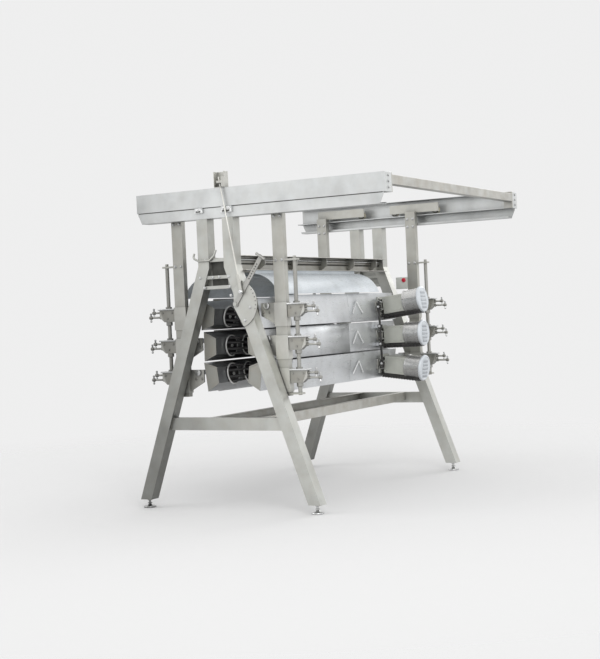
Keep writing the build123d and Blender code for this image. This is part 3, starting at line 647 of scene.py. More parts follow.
# ---------------------------------------------------------------- modelling
class Workpiece:
    """One mesh shaped in edit mode: faces are picked by place, then an operator acts on them."""

    def __init__(self, name: str) -> None:
        """Takes the primitive that was just added and names it."""
        bpy.ops.object.transform_apply(location=True, rotation=True, scale=True)
        self.item = bpy.context.object
        self.item.name = name
        bpy.ops.object.mode_set(mode="EDIT")
        bpy.ops.mesh.select_all(action="DESELECT")

    @classmethod
    def turned(cls, name: str, profile: Profile, sides: int) -> "Workpiece":
        """A turned piece that stands on Z, extruded step by step.

        Args:
            name: the object's name.
            profile: pairs of height and radius, from the first face to the last.
            sides: how many flats go round it.

        Returns:
            The workpiece, in edit mode with its last face picked.
        """
        bpy.ops.object.select_all(action="DESELECT")
        height, radius = profile[0]
        bpy.ops.mesh.primitive_circle_add(
            vertices=sides, radius=radius, fill_type="NGON", location=(0.0, 0.0, height))
        piece = cls(name)
        bpy.ops.mesh.select_all(action="SELECT")
        for next_height, next_radius in profile[1:]:
            rise = (0.0, 0.0, next_height - height)
            bpy.ops.mesh.extrude_region_move(TRANSFORM_OT_translate={"value": rise})
            factor = next_radius / radius
            piece.scale((factor, factor, 1.0), (0.0, 0.0, next_height))
            height, radius = next_height, next_radius
        return piece

    @classmethod
    def block(cls, name: str, low: Point, high: Point) -> "Workpiece":
        """A block between two corners, in edit mode with nothing picked."""
        bpy.ops.object.select_all(action="DESELECT")
        bpy.ops.mesh.primitive_cube_add(size=1.0, location=(Vector(low) + Vector(high)) / 2)
        bpy.context.object.scale = Vector(high) - Vector(low)
        return cls(name)

    def pick(self, wanted: Callable[[Vector, Vector], bool]) -> "Workpiece":
        """Picks the faces that pass a test on their middle and normal."""
        bpy.ops.mesh.select_mode(type="FACE")
        bpy.ops.mesh.select_all(action="DESELECT")
        mesh = bmesh.from_edit_mesh(self.item.data)
        for face in mesh.faces:
            face.select_set(wanted(face.calc_center_median(), face.normal))
        bmesh.update_edit_mesh(self.item.data)
        return self

    def facing(self, way: Point) -> "Workpiece":
        """Picks the faces that look a given way."""
        return self.pick(lambda middle, normal: normal.dot(Vector(way)) > 0.9)

    def inset(self, width: float, depth: float = 0.0) -> "Workpiece":
        """Insets the picked faces; a positive depth raises them."""
        bpy.ops.mesh.inset(thickness=width, depth=depth, use_even_offset=True)
        return self

    def scale(self, factors: Point, centre: Point) -> "Workpiece":
        """Scales what is picked about a centre."""
        bpy.ops.transform.resize(value=factors, center_override=centre)
        return self

    def soften(self, width: float, segments: int = 2) -> "Workpiece":
        """Rounds every sharp edge."""
        bpy.ops.mesh.select_mode(type="EDGE")
        bpy.ops.mesh.select_all(action="DESELECT")
        bpy.ops.mesh.edges_select_sharp(sharpness=math.radians(EDGE_ANGLE))
        bpy.ops.mesh.bevel(offset=width, segments=segments, affect="EDGES")
        return self

    def done(self, material: bpy.types.Material, smooth_angle: float = SMOOTH_ANGLE) -> Piece:
        """Leaves edit mode, turns the faces outward, shades and dresses the piece.

        Args:
            material: the piece's finish.
            smooth_angle: faces that meet under this angle shade as one.

        Returns:
            The finished object.
        """
        bpy.ops.mesh.select_all(action="SELECT")
        bpy.ops.mesh.normals_make_consistent(inside=False)
        bpy.ops.object.mode_set(mode="OBJECT")
        bpy.ops.object.shade_smooth_by_angle(angle=math.radians(smooth_angle))
        self.item.data.materials.clear()
        self.item.data.materials.append(material)
        return self.item


@dataclass
class Workshop:
    """Hands out finishes, makes common pieces and sets finished ones on their bodies."""

    layout: Layout
    nodes: dict[str, Piece]
    finishes: dict[str, bpy.types.Material] = field(default_factory=dict)
    count: int = 0
    weld_reach: float = 0.00005
    washer: Profile = ((0.0, 1.35), (0.0014, 1.35), (0.002, 1.25))   # heights, shares of the head
    washer_top: float = 0.002
    crown: Pair = (0.8, 0.84)                # shares of the head's height and radius at its crown

    def finish(self, kind: Finish) -> bpy.types.Material:
        """The material of a finish, made once."""
        if kind.name not in self.finishes:
            self.finishes[kind.name] = kind.material()
        return self.finishes[kind.name]

    def dress(self, names: Iterable[str], kind: Finish, edge: float = 0.002) -> None:
        """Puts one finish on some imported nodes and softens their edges.

        Args:
            names: the nodes.
            kind: their finish.
            edge: width of the small round on their edges, or 0 for none.
        """
        for name in names:
            node = self.nodes[name]
            for slot in node.material_slots:
                slot.material = self.finish(kind)
            if edge:
                weld = node.modifiers.new("weld", "WELD")
                weld.merge_threshold = self.weld_reach
                bevel = node.modifiers.new("edge", "BEVEL")
                bevel.width = edge
                bevel.segments = 2
                bevel.limit_method = "ANGLE"
                bevel.angle_limit = math.radians(EDGE_ANGLE)
            LOG.info("dressed %s with %s", name, kind.name)

    def turned(self, name: str, profile: Profile, kind: Finish, place: Point = MIDDLE,
               way: Point | None = None, sides: int = 24, angle: float = SMOOTH_ANGLE) -> Piece:
        """A finished turned piece at its place.

        Args:
            name: the object's name.
            profile: pairs of height and radius.
            kind: its finish.
            place: where the profile's origin goes.
            way: where its axis goes; along Z without it.
            sides: how many flats go round it.
            angle: faces that meet under this angle shade as one.

        Returns:
            The piece.
        """
        return moved(Workpiece.turned(name, profile, sides).done(self.finish(kind), angle), stood(place, way))

    def slab(self, name: str, low: Point, high: Point, kind: Finish, edge: float, segments: int = 2) -> Piece:
        """A finished block between two corners, with rounded edges."""
        return Workpiece.block(name, low, high).soften(edge, segments).done(self.finish(kind))

    def bolt(self, kind: Finish, place: Point = MIDDLE, way: Point | None = None,
             radius: float = 0.009, height: float = 0.007) -> Piece:
        """A hexagon bolt head on its washer.

        Args:
            kind: its finish.
            place: the middle of the washer's foot.
            way: where the bolt points; up without it.
            radius: half the head's width over corners.
            height: the head's height above the washer.

        Returns:
            The bolt.
        """
        washer = [(level, radius * share) for level, share in self.washer]
        top, (rise, narrowing) = self.washer_top, self.crown
        head = [(top / 2, radius), (top + height * rise, radius), (top + height, radius * narrowing)]
        pieces = [self.turned("washer", washer, kind, sides=16),
                  self.turned("head", head, kind, sides=6, angle=FLAT_ANGLE)]
        return moved(joined(pieces), stood(place, way))

    def copies(self, pattern: Piece, places: Iterable[Matrix]) -> list[Piece]:
        """Copies of a pattern, each with its own mesh, moved into place; the pattern goes.

        Args:
            pattern: the object to copy.
            places: a matrix for each copy.

        Returns:
            The copies.
        """
        made = []
        for place in places:
            copy = pattern.copy()
            copy.data = pattern.data.copy()
            bpy.context.collection.objects.link(copy)
            made.append(moved(copy, place))
        bpy.data.objects.remove(pattern, do_unlink=True)
        return made

    def fit(self, piece: Piece, name: str, body: str, slot: str, stands_for: str = "") -> None:
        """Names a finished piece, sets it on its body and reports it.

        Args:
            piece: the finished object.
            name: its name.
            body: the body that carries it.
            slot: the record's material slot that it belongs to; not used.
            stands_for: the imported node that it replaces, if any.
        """
        piece.name = name
        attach(piece, body)
        if stands_for:
            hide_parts(stands_for)
        self.count += 1
        LOG.info("fitted %s on %s: %d faces", name, body, len(piece.data.polygons))


# ---------------------------------------------------------------- finger discs
@dataclass
class FingerDiscs:
    """The thirty spinning discs: a rimmed steel plate with two rings of ribbed rubber fingers."""

    shop: Workshop
    face: float = 0.130
    places: tuple[float, ...] = (-1.051, -0.801, -0.551, -0.301, -0.051)
    rings: tuple[tuple[float, int], ...] = ((0.066, 8), (0.032, 4))
    plate: Profile = (
        (-0.006, 0.0855), (-0.0048, 0.088), (0.0010, 0.088), (0.0024, 0.0865), (0.0024, 0.0790),
        (-0.0008, 0.0775), (-0.0008, 0.017), (0.005, 0.0155))
    pad: Profile = ((-0.0015, 0.0768), (0.0008, 0.0768), (0.0014, 0.0755))
    finger: Profile = (
        (-0.001, 0.0125), (0.006, 0.0125), (0.009, 0.0102), (0.042, 0.0094), (0.046, 0.0108),
        (0.050, 0.0092), (0.087, 0.0074), (0.092, 0.0048))
    hub: Profile = ((-0.0185, 0.017), (-0.008, 0.017), (-0.0055, 0.024))
    bolt_rise: float = 0.0048
    bolt_size: Pair = (0.010, 0.006)

    def pattern(self) -> Piece:
        """One disc with its fingers along Z and the plate's front at the origin."""
        shop = self.shop
        finger = shop.turned("finger", self.finger, FINGER_RUBBER, sides=8)
        spots = [Matrix.Rotation(math.tau * (number + 0.5) / count, 4, "Z") @ stood((radius, 0.0, 0.0))
                 for radius, count in self.rings for number in range(count)]
        return joined([
            shop.turned("plate", self.plate, DISC_STEEL, sides=40, angle=30.0),
            shop.turned("pad", self.pad, FINGER_RUBBER, sides=40),
            shop.turned("hub", self.hub, DISC_STEEL, sides=20),
            shop.bolt(DISC_STEEL, (0.0, 0.0, self.bolt_rise), None, *self.bolt_size),
            *shop.copies(finger, spots)])

    def build(self) -> None:
        """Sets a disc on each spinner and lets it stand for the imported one."""
        stand = Matrix.Rotation(math.radians(-90.0), 4, "Y")
        spots, names = [], []
        for bank, frame in self.shop.layout.banks():
            for number, place in enumerate(self.places):
                spots.append(frame @ stood((self.face, place, 0.0)) @ stand)
                names.append((bank, number + 1))
        for piece, (bank, number) in zip(self.shop.copies(self.pattern(), spots), names):
            self.shop.fit(piece, f"{bank}_finger_disc_{number}", f"{bank}_spinner_{number}",
                          "finger_rubber", f"{bank}_disc_{number}")


# ---------------------------------------------------------------- motors
@dataclass
class BankMotors:
    """The six drive motors: bolted flange, lidded box, collared barrel and louvred fan cap."""

    shop: Workshop
    place: float = 0.745
    flange: Pair = (0.366, 0.378)
    flange_half: float = 0.085
    bolt_reach: float = 0.068
    neck_half: float = 0.060
    neck_sunk: float = 0.004                 # how far it reaches into the box
    box: Pair = (0.412, 0.612)
    box_half: float = 0.078
    lid_steps: tuple[Pair, ...] = ((0.006, 0.0), (0.0015, -0.0015), (0.003, 0.0), (0.0012, 0.0032))
    lid_screw: Profile = ((0.0, 0.0045), (0.002, 0.0045), (0.003, 0.003))
    lid_screw_inset: float = 0.028
    lid_screw_rise: float = 0.056
    lid_face: float = 0.0014
    barrel: Profile = (
        (0.0, 0.098), (0.003, 0.107), (0.020, 0.107), (0.023, 0.1035), (0.112, 0.1035),
        (0.115, 0.107), (0.150, 0.107))
    barrel_sunk: float = 0.001
    barrel_end: float = 0.762
    cap: Profile = (
        (-0.002, 0.108), (0.001, 0.1145), (0.004, 0.1165), (0.012, 0.1165), (0.018, 0.114),
        (0.0225, 0.106), (0.0225, 0.100), (0.0205, 0.098), (0.0225, 0.020))
    cap_depth: float = 0.0225
    rounding: tuple[int, float] = (56, 30.0)     # flats round barrel and cap, and their smooth angle
    louvre_pitch: float = 0.033
    louvre_reach: float = 0.058
    louvre_loss: float = 0.006
    louvre_half: Pair = (0.003, 0.0105)
    louvre_tip: Point = (0.5, 1.0, 0.6)
    louvre_tilt: float = 24.0
    # Reach and rise of the painted shadow strip under each louvre.
    vent_depth: Pair = (-0.001, 0.0004)
    vent_rise: Pair = (-0.0185, -0.0075)
    fin_count: int = 14
    fin_half: Pair = (0.0062, 0.062)
    fin_taper: Point = (0.4, 0.92, 1.0)
    comb_low: float = -0.122
    comb_back: Pair = (0.060, 0.020)         # half its depth, and its rise above the fins' foot
    comb_margins: Pair = (0.030, 0.004)
    comb_sunk: Pair = (0.001, 0.002)         # how far its fins and its back reach into the box

    def square(self, name: str, run: Pair, half: float) -> Workpiece:
        """A square block about the motor's middle line."""
        return Workpiece.block(name, (run[0], self.place - half, -half), (run[1], self.place + half, half))

    def shell(self) -> list[Piece]:
        """The flange with its bolts, the neck, the box with its lid, and the barrel."""
        shop, grey = self.shop, self.shop.finish(MOTOR_SHELL)
        y, reach = self.place, self.bolt_reach
        pieces = [self.square("flange", self.flange, self.flange_half).soften(0.003).done(grey)]
        spots = [stood((self.flange[1], y + side * reach, rise * reach), ACROSS)
                 for side in WAYS for rise in WAYS]
        pieces += shop.copies(shop.bolt(BARREL_STEEL), spots)
        neck = self.square("neck", (self.flange[1], self.box[0] + self.neck_sunk), self.neck_half)
        pieces.append(neck.soften(0.006).done(shop.finish(DARK_IRON)))
        box = self.square("box", self.box, self.box_half).soften(0.008, 3)
        box.pick(lambda middle, normal: normal.y < -0.9 and abs(middle.z) < 0.02)
        for width, depth in self.lid_steps:
            box.inset(width, depth)
        pieces.append(box.done(grey))
        face, inset = y - self.box_half - self.lid_face, self.lid_screw_inset
        spots = [stood((x, face, way * self.lid_screw_rise), FRONT)
                 for x in (self.box[0] + inset, self.box[1] - inset) for way in WAYS]
        pieces += shop.copies(shop.turned("lid_screw", self.lid_screw, BARREL_STEEL, sides=12), spots)
        place = (self.box[1] - self.barrel_sunk, y, 0.0)
        barrel = shop.turned("barrel", self.barrel, BARREL_STEEL, place, ACROSS, *self.rounding)
        return [*pieces, barrel]

    def fan_cap(self) -> list[Piece]:
        """The cap with its rolled rim and slanted louvres, and a painted shadow strip under each louvre."""
        shop, place = self.shop, (self.barrel_end, self.place, 0.0)
        pieces = [shop.turned("cap", self.cap, CAP_ALUMINIUM, place, ACROSS, *self.rounding)]
        tilt = Matrix.Rotation(math.radians(self.louvre_tilt), 4, "Y")
        for count in range(-2, 3):
            reach = self.louvre_reach - abs(count) * self.louvre_loss
            spot = stood((self.barrel_end + self.cap_depth, self.place, count * self.louvre_pitch))
            deep, tall = self.louvre_half
            louvre = Workpiece.block("louvre", (-deep, -reach, -tall), (deep, reach, tall))
            louvre.pick(lambda middle, normal: abs(normal.y) > 0.9).scale(self.louvre_tip, MIDDLE)
            louvre.soften(0.0012)
            pieces.append(moved(louvre.done(shop.finish(CAP_ALUMINIUM)), spot @ tilt))
            # A darker strip under each louvre: painted shadow.
            (near, far), (low, high) = self.vent_depth, self.vent_rise
            vent = Workpiece.block("vent", (near, -reach, low), (far, reach, high))
            pieces.append(moved(vent.done(shop.finish(LOUVRE_SHADOW_ALUMINIUM)), spot))
        return pieces

    def comb(self) -> list[Piece]:
        """The row of dark cooling fins under the box."""
        low, (wide, deep), y = self.comb_low, self.fin_half, self.place
        fin = Workpiece.block("fin", (-wide, -deep, low), (wide, deep, self.comb_sunk[0] - self.box_half))
        fin.facing(DOWN).scale(self.fin_taper, (0.0, 0.0, low))
        fin_piece = fin.soften(0.0008, 1).done(self.shop.finish(DARK_IRON))
        start, end = self.box[0] - self.comb_margins[0], self.barrel_end - self.comb_margins[1]
        step = (end - start) / self.fin_count
        spots = [stood((start + (number + 0.5) * step, y, 0.0)) for number in range(self.fin_count)]
        deep, rise = self.comb_back
        back = self.shop.slab("comb_back", (start, y - deep, low + rise),
                              (end, y + deep, self.comb_sunk[1] - self.box_half), DARK_IRON, 0.002)
        return [*self.shop.copies(fin_piece, spots), back]

    def build(self) -> None:
        """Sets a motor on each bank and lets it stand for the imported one."""
        motor = joined([*self.shell(), *self.fan_cap(), *self.comb()])
        names, spots = zip(*self.shop.layout.banks())
        for piece, name in zip(self.shop.copies(motor, spots), names):
            self.shop.fit(piece, f"{name}_drive_motor", f"{name}_bank", "motor_shell", f"{name}_motor")


# ---------------------------------------------------------------- clamps and screws
@dataclass
class ClampFittings:
    """Nuts, hubs, ball ends, box skins that carry painted light and shade, and bolt heads on the twelve
    clamps.
    """

    shop: Workshop
    box_run: Pair = (0.5283, 0.6783)
    box_drop: float = 0.024
    box_top: float = 0.084
    box_half_depth: float = 0.023
    skin: Pair = (-0.001, 0.0016)            # its inner and outer face, from the box's side
    skin_taper: Point = (0.70, 1.0, 1.0)
    margins: Pair = (0.003, 0.002)           # between the skins and the box's ends
    skin_rise: Pair = (0.002, 0.011)         # between them and its foot and top
    lid_rise: float = 0.0015
    flange: float = 0.0115
    hub_reach: float = 0.006                 # from a clamping screw's end to its hub's middle
    screws: tuple[Pair, ...] = ((0.054, 0.066), (0.016, 0.098))       # rise and length
    lock_nut: Profile = ((0.0, 0.0145), (0.011, 0.0145), (0.013, 0.012))
    hub: Profile = ((-0.016, 0.010), (-0.013, 0.0135), (0.010, 0.0135), (0.013, 0.010))
    cross_rod: Profile = (
        (-0.038, 0.004), (-0.034, 0.0085), (-0.026, 0.0085), (-0.022, 0.0066),
        (0.022, 0.0066), (0.026, 0.0085), (0.034, 0.0085), (0.038, 0.004))
    lift_line: float = 0.600
    lift_radii: Pair = (0.026, 0.022)
    lift_heights: Pair = (0.030, 0.014)      # of the nuts under and on the box
    side_bolts: tuple[Pair, ...] = ((-0.045, 0.050), (0.046, 0.050), (0.0, 0.004))
    side_bolt_size: Pair = (0.0060, 0.004)
    arm_bolts: Pair = (0.30, 0.36)
    arm_bolt_rise: float = 0.018
    arm_bolt_size: Pair = (0.008, 0.005)
    arm_half: float = 0.006

    def clamp_screws(self, y: float, height: float) -> list[Piece]:
        """The lock nut, hub and ball-ended cross rod of both clamping screws."""
        pieces = []
        for rise, length in self.screws:
            z = height + rise
            tip = self.box_run[1] + length + self.hub_reach
            nut = (self.box_run[1], y, z)
            pieces += [
                self.shop.turned("lock_nut", self.lock_nut, SCREW_STEEL, nut, ACROSS, 6, FLAT_ANGLE),
                self.shop.turned("hub", self.hub, SCREW_STEEL, (tip, y, z), ACROSS, 16),
                self.shop.turned("cross_rod", self.cross_rod, BRIGHT_STEEL, (tip, y, z), None, 12)]
        return pieces

    def box_skins(self, y: float, height: float) -> list[Piece]:
        """The sides and the lid of the screw box, with the bolts through its sides; the dark sides are
        painted shade and the bright lid is painted light on its top.
        """
        pieces = []
        (start, end), top, half = self.box_run, height + self.box_top, self.box_half_depth
        start += self.margins[0]
        for turn in WAYS:
            low, high = sorted(y + turn * (half + face) for face in self.skin)
            sheet = Workpiece.block("box_side", (start, low, height - self.box_drop + self.skin_rise[0]),
                                    (end - self.margins[1], high, top - self.skin_rise[1]))
            sheet.facing(DOWN).scale(self.skin_taper, (start, y, 0.0))
            # A darker skin on each side: painted shade.
            pieces.append(sheet.soften(0.001, 1).done(self.shop.finish(BOX_SIDE_SHADE_STEEL)))
            for run, rise in self.side_bolts:
                place = (self.lift_line + run, y + turn * (half + self.skin[1]), height + rise)
                pieces.append(self.shop.bolt(SCREW_STEEL, place, (0, turn, 0), *self.side_bolt_size))
        lip = half + self.flange
        # A lid in bright steel over the darker skins: painted light on the box's top.
        lid = self.shop.slab("box_lid", (start - self.margins[1], y - lip, top - self.flange),
                             (end + self.flange, y + lip, top + self.lid_rise), BRIGHT_STEEL, 0.0025)
        return [lid, *pieces]

    def lift_nuts(self, y: float, height: float) -> list[Piece]:
        """The nuts of the lifting screw under and on the box."""
        pieces = []
        rises = (-self.box_drop, self.box_top + self.lid_rise)
        for rise, way, tall in zip(rises, (DOWN, UP), self.lift_heights):
            wide, narrow = self.lift_radii
            profile = [(0.0, wide), (tall - 0.003, wide), (tall, narrow)]
            place = (self.lift_line, y, height + rise)
            pieces.append(self.shop.turned("lift_nut", profile, SCREW_STEEL, place, way, 6, FLAT_ANGLE))
        return pieces

    def set_at(self, height: float) -> Piece:
        """All fittings of one near right clamp.

        Args:
            height: the middle of its sleeve.

        Returns:
            The fittings, joined, in the near right quarter.
        """
        y = -self.shop.layout.post_line
        spots = [(reach, y - self.arm_half, height + self.arm_bolt_rise) for reach in self.arm_bolts]
        bolts = [self.shop.bolt(SCREW_STEEL, spot, FRONT, *self.arm_bolt_size) for spot in spots]
        return joined([*self.clamp_screws(y, height), *self.box_skins(y, height),
                       *self.lift_nuts(y, height), *bolts])

    def build(self) -> None:
        """Sets the fittings of each side's six clamps on its lift."""
        layout = self.shop.layout
        for side in Side:
            sets = []
            for height in layout.level_heights:
                frames = [layout.side_frame(side, end) for end in (-1, 1)]
                sets += self.shop.copies(self.set_at(height), frames)
            self.shop.fit(joined(sets), f"{side.word}_clamp_fittings", f"{side.word}_lift", "clamp_steel")


@dataclass
class PostFittings:
    """Threads on the lifting screws, bolts on the posts and the rollers' tyres."""

    shop: Workshop
    screw_line: float = 0.600
    screw_run: Pair = (0.925, 1.950)
    pitch: float = 0.010
    crest: float = 0.0163
    crest_place: float = 0.55                # share of the pitch
    root: float = 0.0151
    post_reach: float = 0.472
    post_face: float = 0.025
    bolt_spread: float = 0.028
    bolt_heights: Point = (1.958, 2.372, 2.300)
    bolt_size: Pair = (0.0095, 0.008)
    stop_bolt: Point = (0.522, -0.012, 1.958)
    stop_bolt_size: Pair = (0.009, 0.012)
    roller_height: float = 2.4463
    roller_middle: dict[Side, float] = field(default_factory=lambda: {Side.LEFT: 0.282, Side.RIGHT: 0.494})
    roller_spread: float = 0.210
    tyre_start: float = 1.3220
    tyre: Profile = (
        (0.0, 0.0335), (0.003, 0.0361), (0.027, 0.0361), (0.030, 0.0335), (0.030, 0.024), (0.028, 0.022))
    axle_bolt_size: Pair = (0.012, 0.008)

    def thread(self, y: float) -> Piece:
        """The ridges of one screw, from its foot to its head."""
        start, end = self.screw_run
        profile = []
        for number in range(round((end - start) / self.pitch)):
            low = start + number * self.pitch
            profile += [(low, self.root), (low + self.crest_place * self.pitch, self.crest)]
        return self.shop.turned("thread", profile, SCREW_STEEL, (self.screw_line, y, 0.0), None, 12, 60.0)

    def near_set(self, side: Side) -> Piece:
        """The fittings of one post, drawn for the near right quarter."""
        shop, y = self.shop, -self.shop.layout.post_line
        pieces = [self.thread(y)]
        for x in (self.post_reach - self.bolt_spread, self.post_reach + self.bolt_spread):
            for z in self.bolt_heights:
                spots = [((x, y + way * self.post_face, z), (0, way, 0)) for way in WAYS]
                pieces += [shop.bolt(BRIGHT_STEEL, *spot, *self.bolt_size) for spot in spots]
        x, inset, z = self.stop_bolt
        pieces.append(shop.bolt(BRIGHT_STEEL, (x, y + inset, z), ACROSS, *self.stop_bolt_size))
        for way in WAYS:
            x = self.roller_middle[side] + way * self.roller_spread
            place = (x, -self.tyre_start, self.roller_height)
            pieces.append(shop.turned("tyre", self.tyre, ROLLER_NYLON, place, ALONG, 32))
            pieces.append(shop.bolt(BRIGHT_STEEL, place, FRONT, *self.axle_bolt_size))
        return joined(pieces)

    def build(self) -> None:
        """Sets the fittings of each side's two posts on its carriage."""
        for side in Side:
            frames = [self.shop.layout.side_frame(side, end) for end in (-1, 1)]
            both = joined(self.shop.copies(self.near_set(side), frames))
            self.shop.fit(both, f"{side.word}_post_fittings", f"{side.word}_carriage", "clamp_steel")


# ---------------------------------------------------------------- feet
@dataclass
class LevellingFeet:
    """The four feet: a rimmed pad, a ball neck, a threaded stem and two nuts."""

    shop: Workshop
    reach: Pair = (0.785, 1.335)
    pad: Profile = (
        (0.0, 0.047), (0.0025, 0.050), (0.009, 0.050), (0.0125, 0.0475), (0.0145, 0.032),
        (0.018, 0.021), (0.026, 0.0155), (0.029, 0.012))
    stem: Pair = (0.028, 0.0702)
    stem_radii: Point = (0.0093, 0.0102, 0.0095)     # root, crest and end
    pitch: float = 0.004
    nuts: tuple[Pair, ...] = ((0.0335, 0.0415), (0.0585, 0.0700))
    nut_radii: Pair = (0.016, 0.018)
    nut_corner: float = 0.0015

    def build(self) -> None:
        """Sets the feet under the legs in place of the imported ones."""
        turned = self.shop.turned
        root, crest, end = self.stem_radii
        height, top = self.stem
        ridges = []
        while height < top - self.pitch:
            ridges += [(height, root), (height + self.pitch / 2, crest)]
            height += self.pitch
        pieces = [turned("pad", self.pad, BRIGHT_STEEL, sides=36),
                  turned("stem", [*ridges, (top, end)], BRIGHT_STEEL, sides=16, angle=60.0)]
        (narrow, wide), corner = self.nut_radii, self.nut_corner
        for low, high in self.nuts:
            profile = [(low, narrow), (low + corner, wide), (high - corner, wide), (high, narrow)]
            pieces.append(turned("nut", profile, BRIGHT_STEEL, sides=6, angle=FLAT_ANGLE))
        frame = self.shop.layout.frame()
        spots = [frame @ stood((x * self.reach[0], y * self.reach[1], 0.0)) for x in WAYS for y in WAYS]
        feet = joined(self.shop.copies(joined(pieces), spots))
        self.shop.fit(feet, "machine_feet", "frame", "frame_steel", "levelling_feet")


# ---------------------------------------------------------------- bank trim
@dataclass
class BankTrim:
    """Folded hems, end plates, belt adjusters, wire handles and axle caps on the six banks."""

    shop: Workshop
    trough: Pair = (0.149, 0.262)
    deep_box: Pair = (0.262, 0.362)
    trough_taper: float = 0.065 / 0.118
    case_half: float = 0.118
    cover_face: float = 0.366
    ends: Pair = (-1.255, 0.985)
    rear_start: float = -0.945
    plate_thickness: float = 0.003
    rim: float = 0.010
    recess: Pair = (0.0015, -0.0018)
    split: float = 0.075
    seam_half: float = 0.002
    overhang: float = 0.006
    hem_start: float = 0.318
    hem_end: float = 0.3655
    hem_reach: float = 0.0010                # above and below the case's edge
    adjuster_place: float = 0.628
    angle_run: Pair = (-0.022, 0.030)
    angle_half: float = 0.046
    angle_thickness: float = 0.010
    stub_run: Pair = (0.022, 0.030)
    stub_reach: Pair = (0.009, 0.044)
    stub_half: float = 0.030
    stud: Profile = ((0.0, 0.0062), (0.052, 0.0062), (0.054, 0.004))
    stud_spread: float = 0.032
    stud_place: float = 0.010
    stud_reach: float = 0.006                # from the cover's face, as for the cross bar
    nut_places: Pair = (0.012, 0.040)
    nut_size: Pair = (0.0115, 0.007)
    cross_bar: Profile = ((-0.024, 0.0035), (-0.022, 0.0048), (0.022, 0.0048), (0.024, 0.0035))
    cross_bar_way: Point = (0.0, 1.0, 0.15)
    cross_bar_reach: float = 0.056
    wire_reach: float = 0.380
    wire_place: float = 0.215
    wire_spread: float = 0.095
    wire_half: float = 0.0525
    axle_cap: Profile = ((0.0, 0.019), (0.001, 0.026), (0.006, 0.026), (0.008, 0.022))
    axle_place: Point = (0.335, 1.257, 0.045)
    brace_place: Pair = (0.416, 0.595)
    brace_sleeve: Profile = ((-0.302, 0.008), (-0.300, 0.0096), (0.308, 0.0096), (0.310, 0.008))
    lug_heights: tuple[float, ...] = (-0.256, -0.080, 0.080, 0.256)
    lug_low: Point = (-0.018, -0.016, -0.0155)       # its corners, from the brace's middle line
    lug_high: Point = (0.0195, 0.016, 0.0155)
    lug_bolt_size: Pair = (0.0085, 0.007)

    def hems(self) -> list[Piece]:
        """The folded edges along the tops and bottoms of both covers, lighter than the covers as a painted
        highlight.
        """
        edges = (self.case_half - self.hem_reach, self.case_half + self.hem_reach)
        runs = ((self.rear_start - self.overhang, self.split - self.seam_half),
                (self.split + self.seam_half, self.ends[1] + self.overhang))
        pieces = []
        for start, end in runs:
            for way in WAYS:
                low, high = sorted(way * edge for edge in edges)
                pieces.append(self.shop.slab("hem", (self.hem_start, start, low),
                                             (self.hem_end, end, high), HEM_STEEL, 0.001))
        return pieces

    def end_plate(self, place: float, way: float, run: Pair, taper: float = 1.0) -> Piece:
        """A bolted end plate with a raised rim, in a darker steel than the casing: painted shade.

        Args:
            place: where the casing's end lies along the lane.
            way: -1 for a near end, 1 for a far end.
            run: its limits across the lane.
            taper: the share of its height that its lane side has.

        Returns:
            The plate.
        """
        low, high = sorted((place, place + way * self.plate_thickness))
        half = self.case_half
        plate = Workpiece.block("end_plate", (run[0], low, -half), (run[1], high, half))
        if taper < 1.0:
            plate.facing((-1.0, 0.0, 0.0)).scale((1.0, 1.0, taper), (run[0], 0.0, 0.0))
        plate.facing((0.0, way, 0.0)).inset(self.rim).inset(*self.recess)
        return plate.done(self.shop.finish(END_SHADE_STEEL))

    def adjuster(self) -> list[Piece]:
        """The angle with two long screws that sets a motor's belt, beside its flange."""
        shop, face, y = self.shop, self.cover_face, self.adjuster_place
        (start, end), half = self.angle_run, self.angle_half
        pieces = [shop.slab("angle", (face, y + start, -half), (face + self.angle_thickness, y + end, half),
                            CLAMP_STEEL, 0.002)]
        (start, end), (near, far), half = self.stub_run, self.stub_reach, self.stub_half
        pieces.append(shop.slab("stub", (face + near, y + start, -half), (face + far, y + end, half),
                                CLAMP_STEEL, 0.002))
        y += self.stud_place
        for z in (-self.stud_spread, self.stud_spread):
            place = (face + self.stud_reach, y, z)
            pieces.append(shop.turned("stud", self.stud, DARK_IRON, place, ACROSS, 12))
            pieces += [shop.bolt(BRIGHT_STEEL, (face + reach, y, z), ACROSS, *self.nut_size)
                       for reach in self.nut_places]
            place = (face + self.cross_bar_reach, y, z)
            bar = shop.turned("cross_bar", self.cross_bar, BRIGHT_STEEL, place, self.cross_bar_way, 10)
            pieces.append(bar)
        return pieces

    def wire(self) -> list[Piece]:
        """The bent wire that lifts the drive cover, lighter than the cover as a painted highlight."""
        pieces = []
        top = Vector((self.wire_reach, self.wire_place, self.wire_half))
        for way in WAYS:
            foot = Vector((self.wire_reach, self.wire_place + way * self.wire_spread, -self.wire_half))
            run = top - foot
            profile = [(-0.003, 0.0040), (0.0, 0.0050), (run.length, 0.0050), (run.length + 0.003, 0.0035)]
            pieces.append(self.shop.turned("wire", profile, HEM_STEEL, tuple(foot), tuple(run), 12))
        return pieces

    def pattern(self) -> Piece:
        """All trim of one bank, drawn level for the right side."""
        near, far = self.ends
        pieces = [
            *self.hems(), *self.adjuster(), *self.wire(),
            self.end_plate(near, -1.0, self.trough, self.trough_taper),
            self.end_plate(far, 1.0, self.trough, self.trough_taper),
            self.end_plate(self.rear_start, -1.0, self.deep_box),
            self.end_plate(far, 1.0, self.deep_box)]
        x, y, z = self.axle_place
        pieces += [self.shop.turned("axle_cap", self.axle_cap, BRIGHT_STEEL, (x, way * y, z), (0, way, 0))
                   for way in WAYS]
        return joined(pieces)

